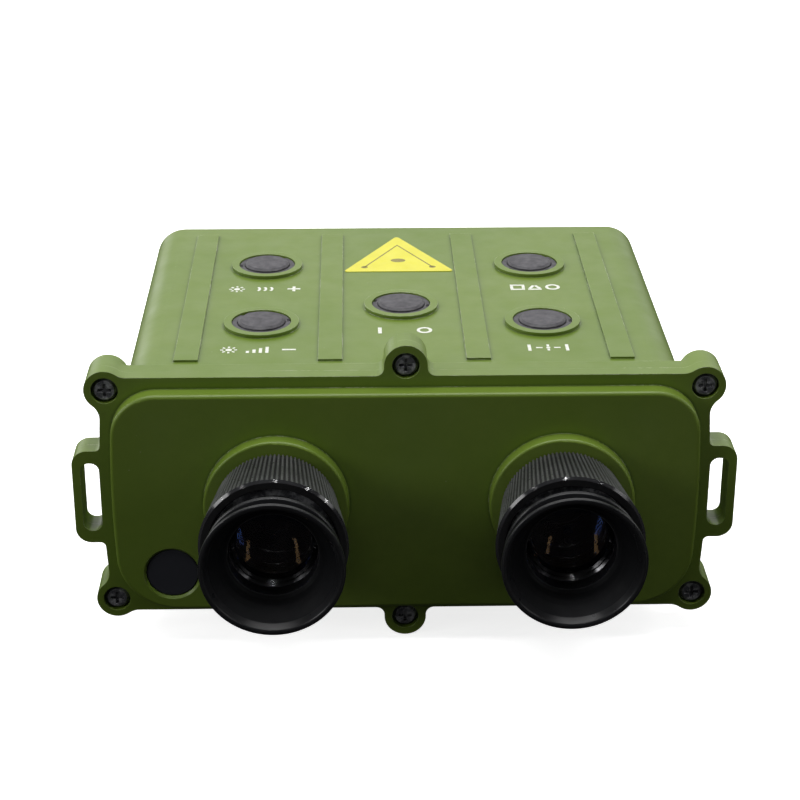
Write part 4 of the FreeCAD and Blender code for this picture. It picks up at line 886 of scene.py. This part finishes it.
def area_light(name, place, aim, width, depth, power):
    data = bpy.data.lights.new(name, "AREA")
    data.shape = "RECTANGLE"
    data.size, data.size_y = width, depth
    data.energy = power
    light = bpy.data.objects.new(name, data)
    light.location = place
    light.rotation_euler = (Vector(aim) - Vector(place)).to_track_quat("-Z", "Y").to_euler()
    bpy.context.scene.collection.objects.link(light)


WORLD_GLOW = 0.02

SOFT_BOXES = {
    # place, aim, width, depth and power
    "overhead": ((0.0, 0.0, 1.10), (0.0, 0.05, 0.0), 1.2, 0.62, 11.6),
    "back_glow": ((0.0, 1.30, 0.72), (0.0, 0.05, 0.0), 2.2, 0.9, 7.6),
    "left_horizon": ((-0.95, 1.20, 0.13), (0.0, 0.05, 0.05), 1.2, 0.35, 2.4),
    "right_horizon": ((0.95, 1.20, 0.13), (0.0, 0.05, 0.05), 1.2, 0.35, 1.0),
    "left_wall": ((-1.20, 0.35, 0.45), (0.0, 0.05, 0.0), 0.8, 0.7, 5.0),
    "right_wall": ((1.20, 0.35, 0.45), (0.0, 0.05, 0.0), 0.8, 0.7, 3.0),
    "left_fill": ((-1.05, -0.50, 0.50), (0.0, -0.02, 0.0), 0.5, 0.4, 2.8),
    "right_fill": ((1.05, -0.50, 0.50), (0.0, -0.02, 0.0), 0.5, 0.4, 1.0),
}
LAMP_PLACES = [
    (-0.94, -0.37, 0.45), (-0.63, -0.46, 0.77), (0.0, -0.52, 0.97), (0.63, -0.46, 0.77),
    (0.94, -0.37, 0.45),
]
LAMP_SIZE = 0.02
LAMP_POWER = 0.12
STRIPS = [
    # the two ends over the floor of narrow lights that the eye lenses mirror
    ((-0.075, -0.095), (-0.060, -0.135)),
    ((0.016, -0.10), (-0.006, -0.125)),
    ((0.082, -0.10), (0.070, -0.13)),
]
STRIP_LEVEL = -0.030
STRIP_WIDTH = 0.006
STRIP_GLOW = 1.5


def lights():
    for name, settings in SOFT_BOXES.items():
        area_light(name, *settings)
    for index, place in enumerate(LAMP_PLACES):
        area_light("lamp_%d" % index, place, (0.0, 0.0, 0.0), LAMP_SIZE, LAMP_SIZE, LAMP_POWER)
    for index, (near, far) in enumerate(STRIPS):
        middle = Vector((*(Vector(near) + Vector(far)) / 2, STRIP_LEVEL))
        length = (Vector(far) - Vector(near)).length
        power = STRIP_GLOW * math.pi * STRIP_WIDTH * length
        area_light("strip_%d" % index, middle, (0.0, 0.0, 0.0), STRIP_WIDTH, length, power)
    world = bpy.data.worlds.new("studio")
    world.use_nodes = True
    background = world.node_tree.nodes["Background"]
    background.inputs["Color"].default_value = (1.0, 1.0, 1.0, 1.0)
    background.inputs["Strength"].default_value = WORLD_GLOW
    bpy.context.scene.world = world
    bpy.context.scene.view_settings.view_transform = "Standard"


def camera():
    yaw, pitch, roll = CAMERA_YAW, CAMERA_PITCH, CAMERA_ROLL
    forward = Vector((math.sin(yaw) * math.cos(pitch), math.cos(yaw) * math.cos(pitch), -math.sin(pitch)))
    right = Vector((math.cos(yaw), -math.sin(yaw), 0.0))
    up = right.cross(forward)
    level_right = math.cos(roll) * right - math.sin(roll) * up
    level_up = math.sin(roll) * right + math.cos(roll) * up
    turn = Matrix((level_right, level_up, -forward)).transposed()
    data = bpy.data.cameras.new("camera")
    data.sensor_width = SENSOR_WIDTH
    data.lens = FOCAL_SHARE * SENSOR_WIDTH
    data.clip_start = CAMERA_NEAR
    item = bpy.data.objects.new("camera", data)
    item.matrix_world = Matrix.Translation(CAMERA_PLACE) @ turn.to_4x4()
    bpy.context.scene.collection.objects.link(item)
    bpy.context.scene.camera = item


paint_nodes()
for eye_side in SIDES:
    knurled_ring(eye_side)
    rubber_eyecup(eye_side)
    lens_retainer(eye_side)
    glare_stops(eye_side)
key_rings()
key_marks()
sticker_print()
floor()
lights()
camera()
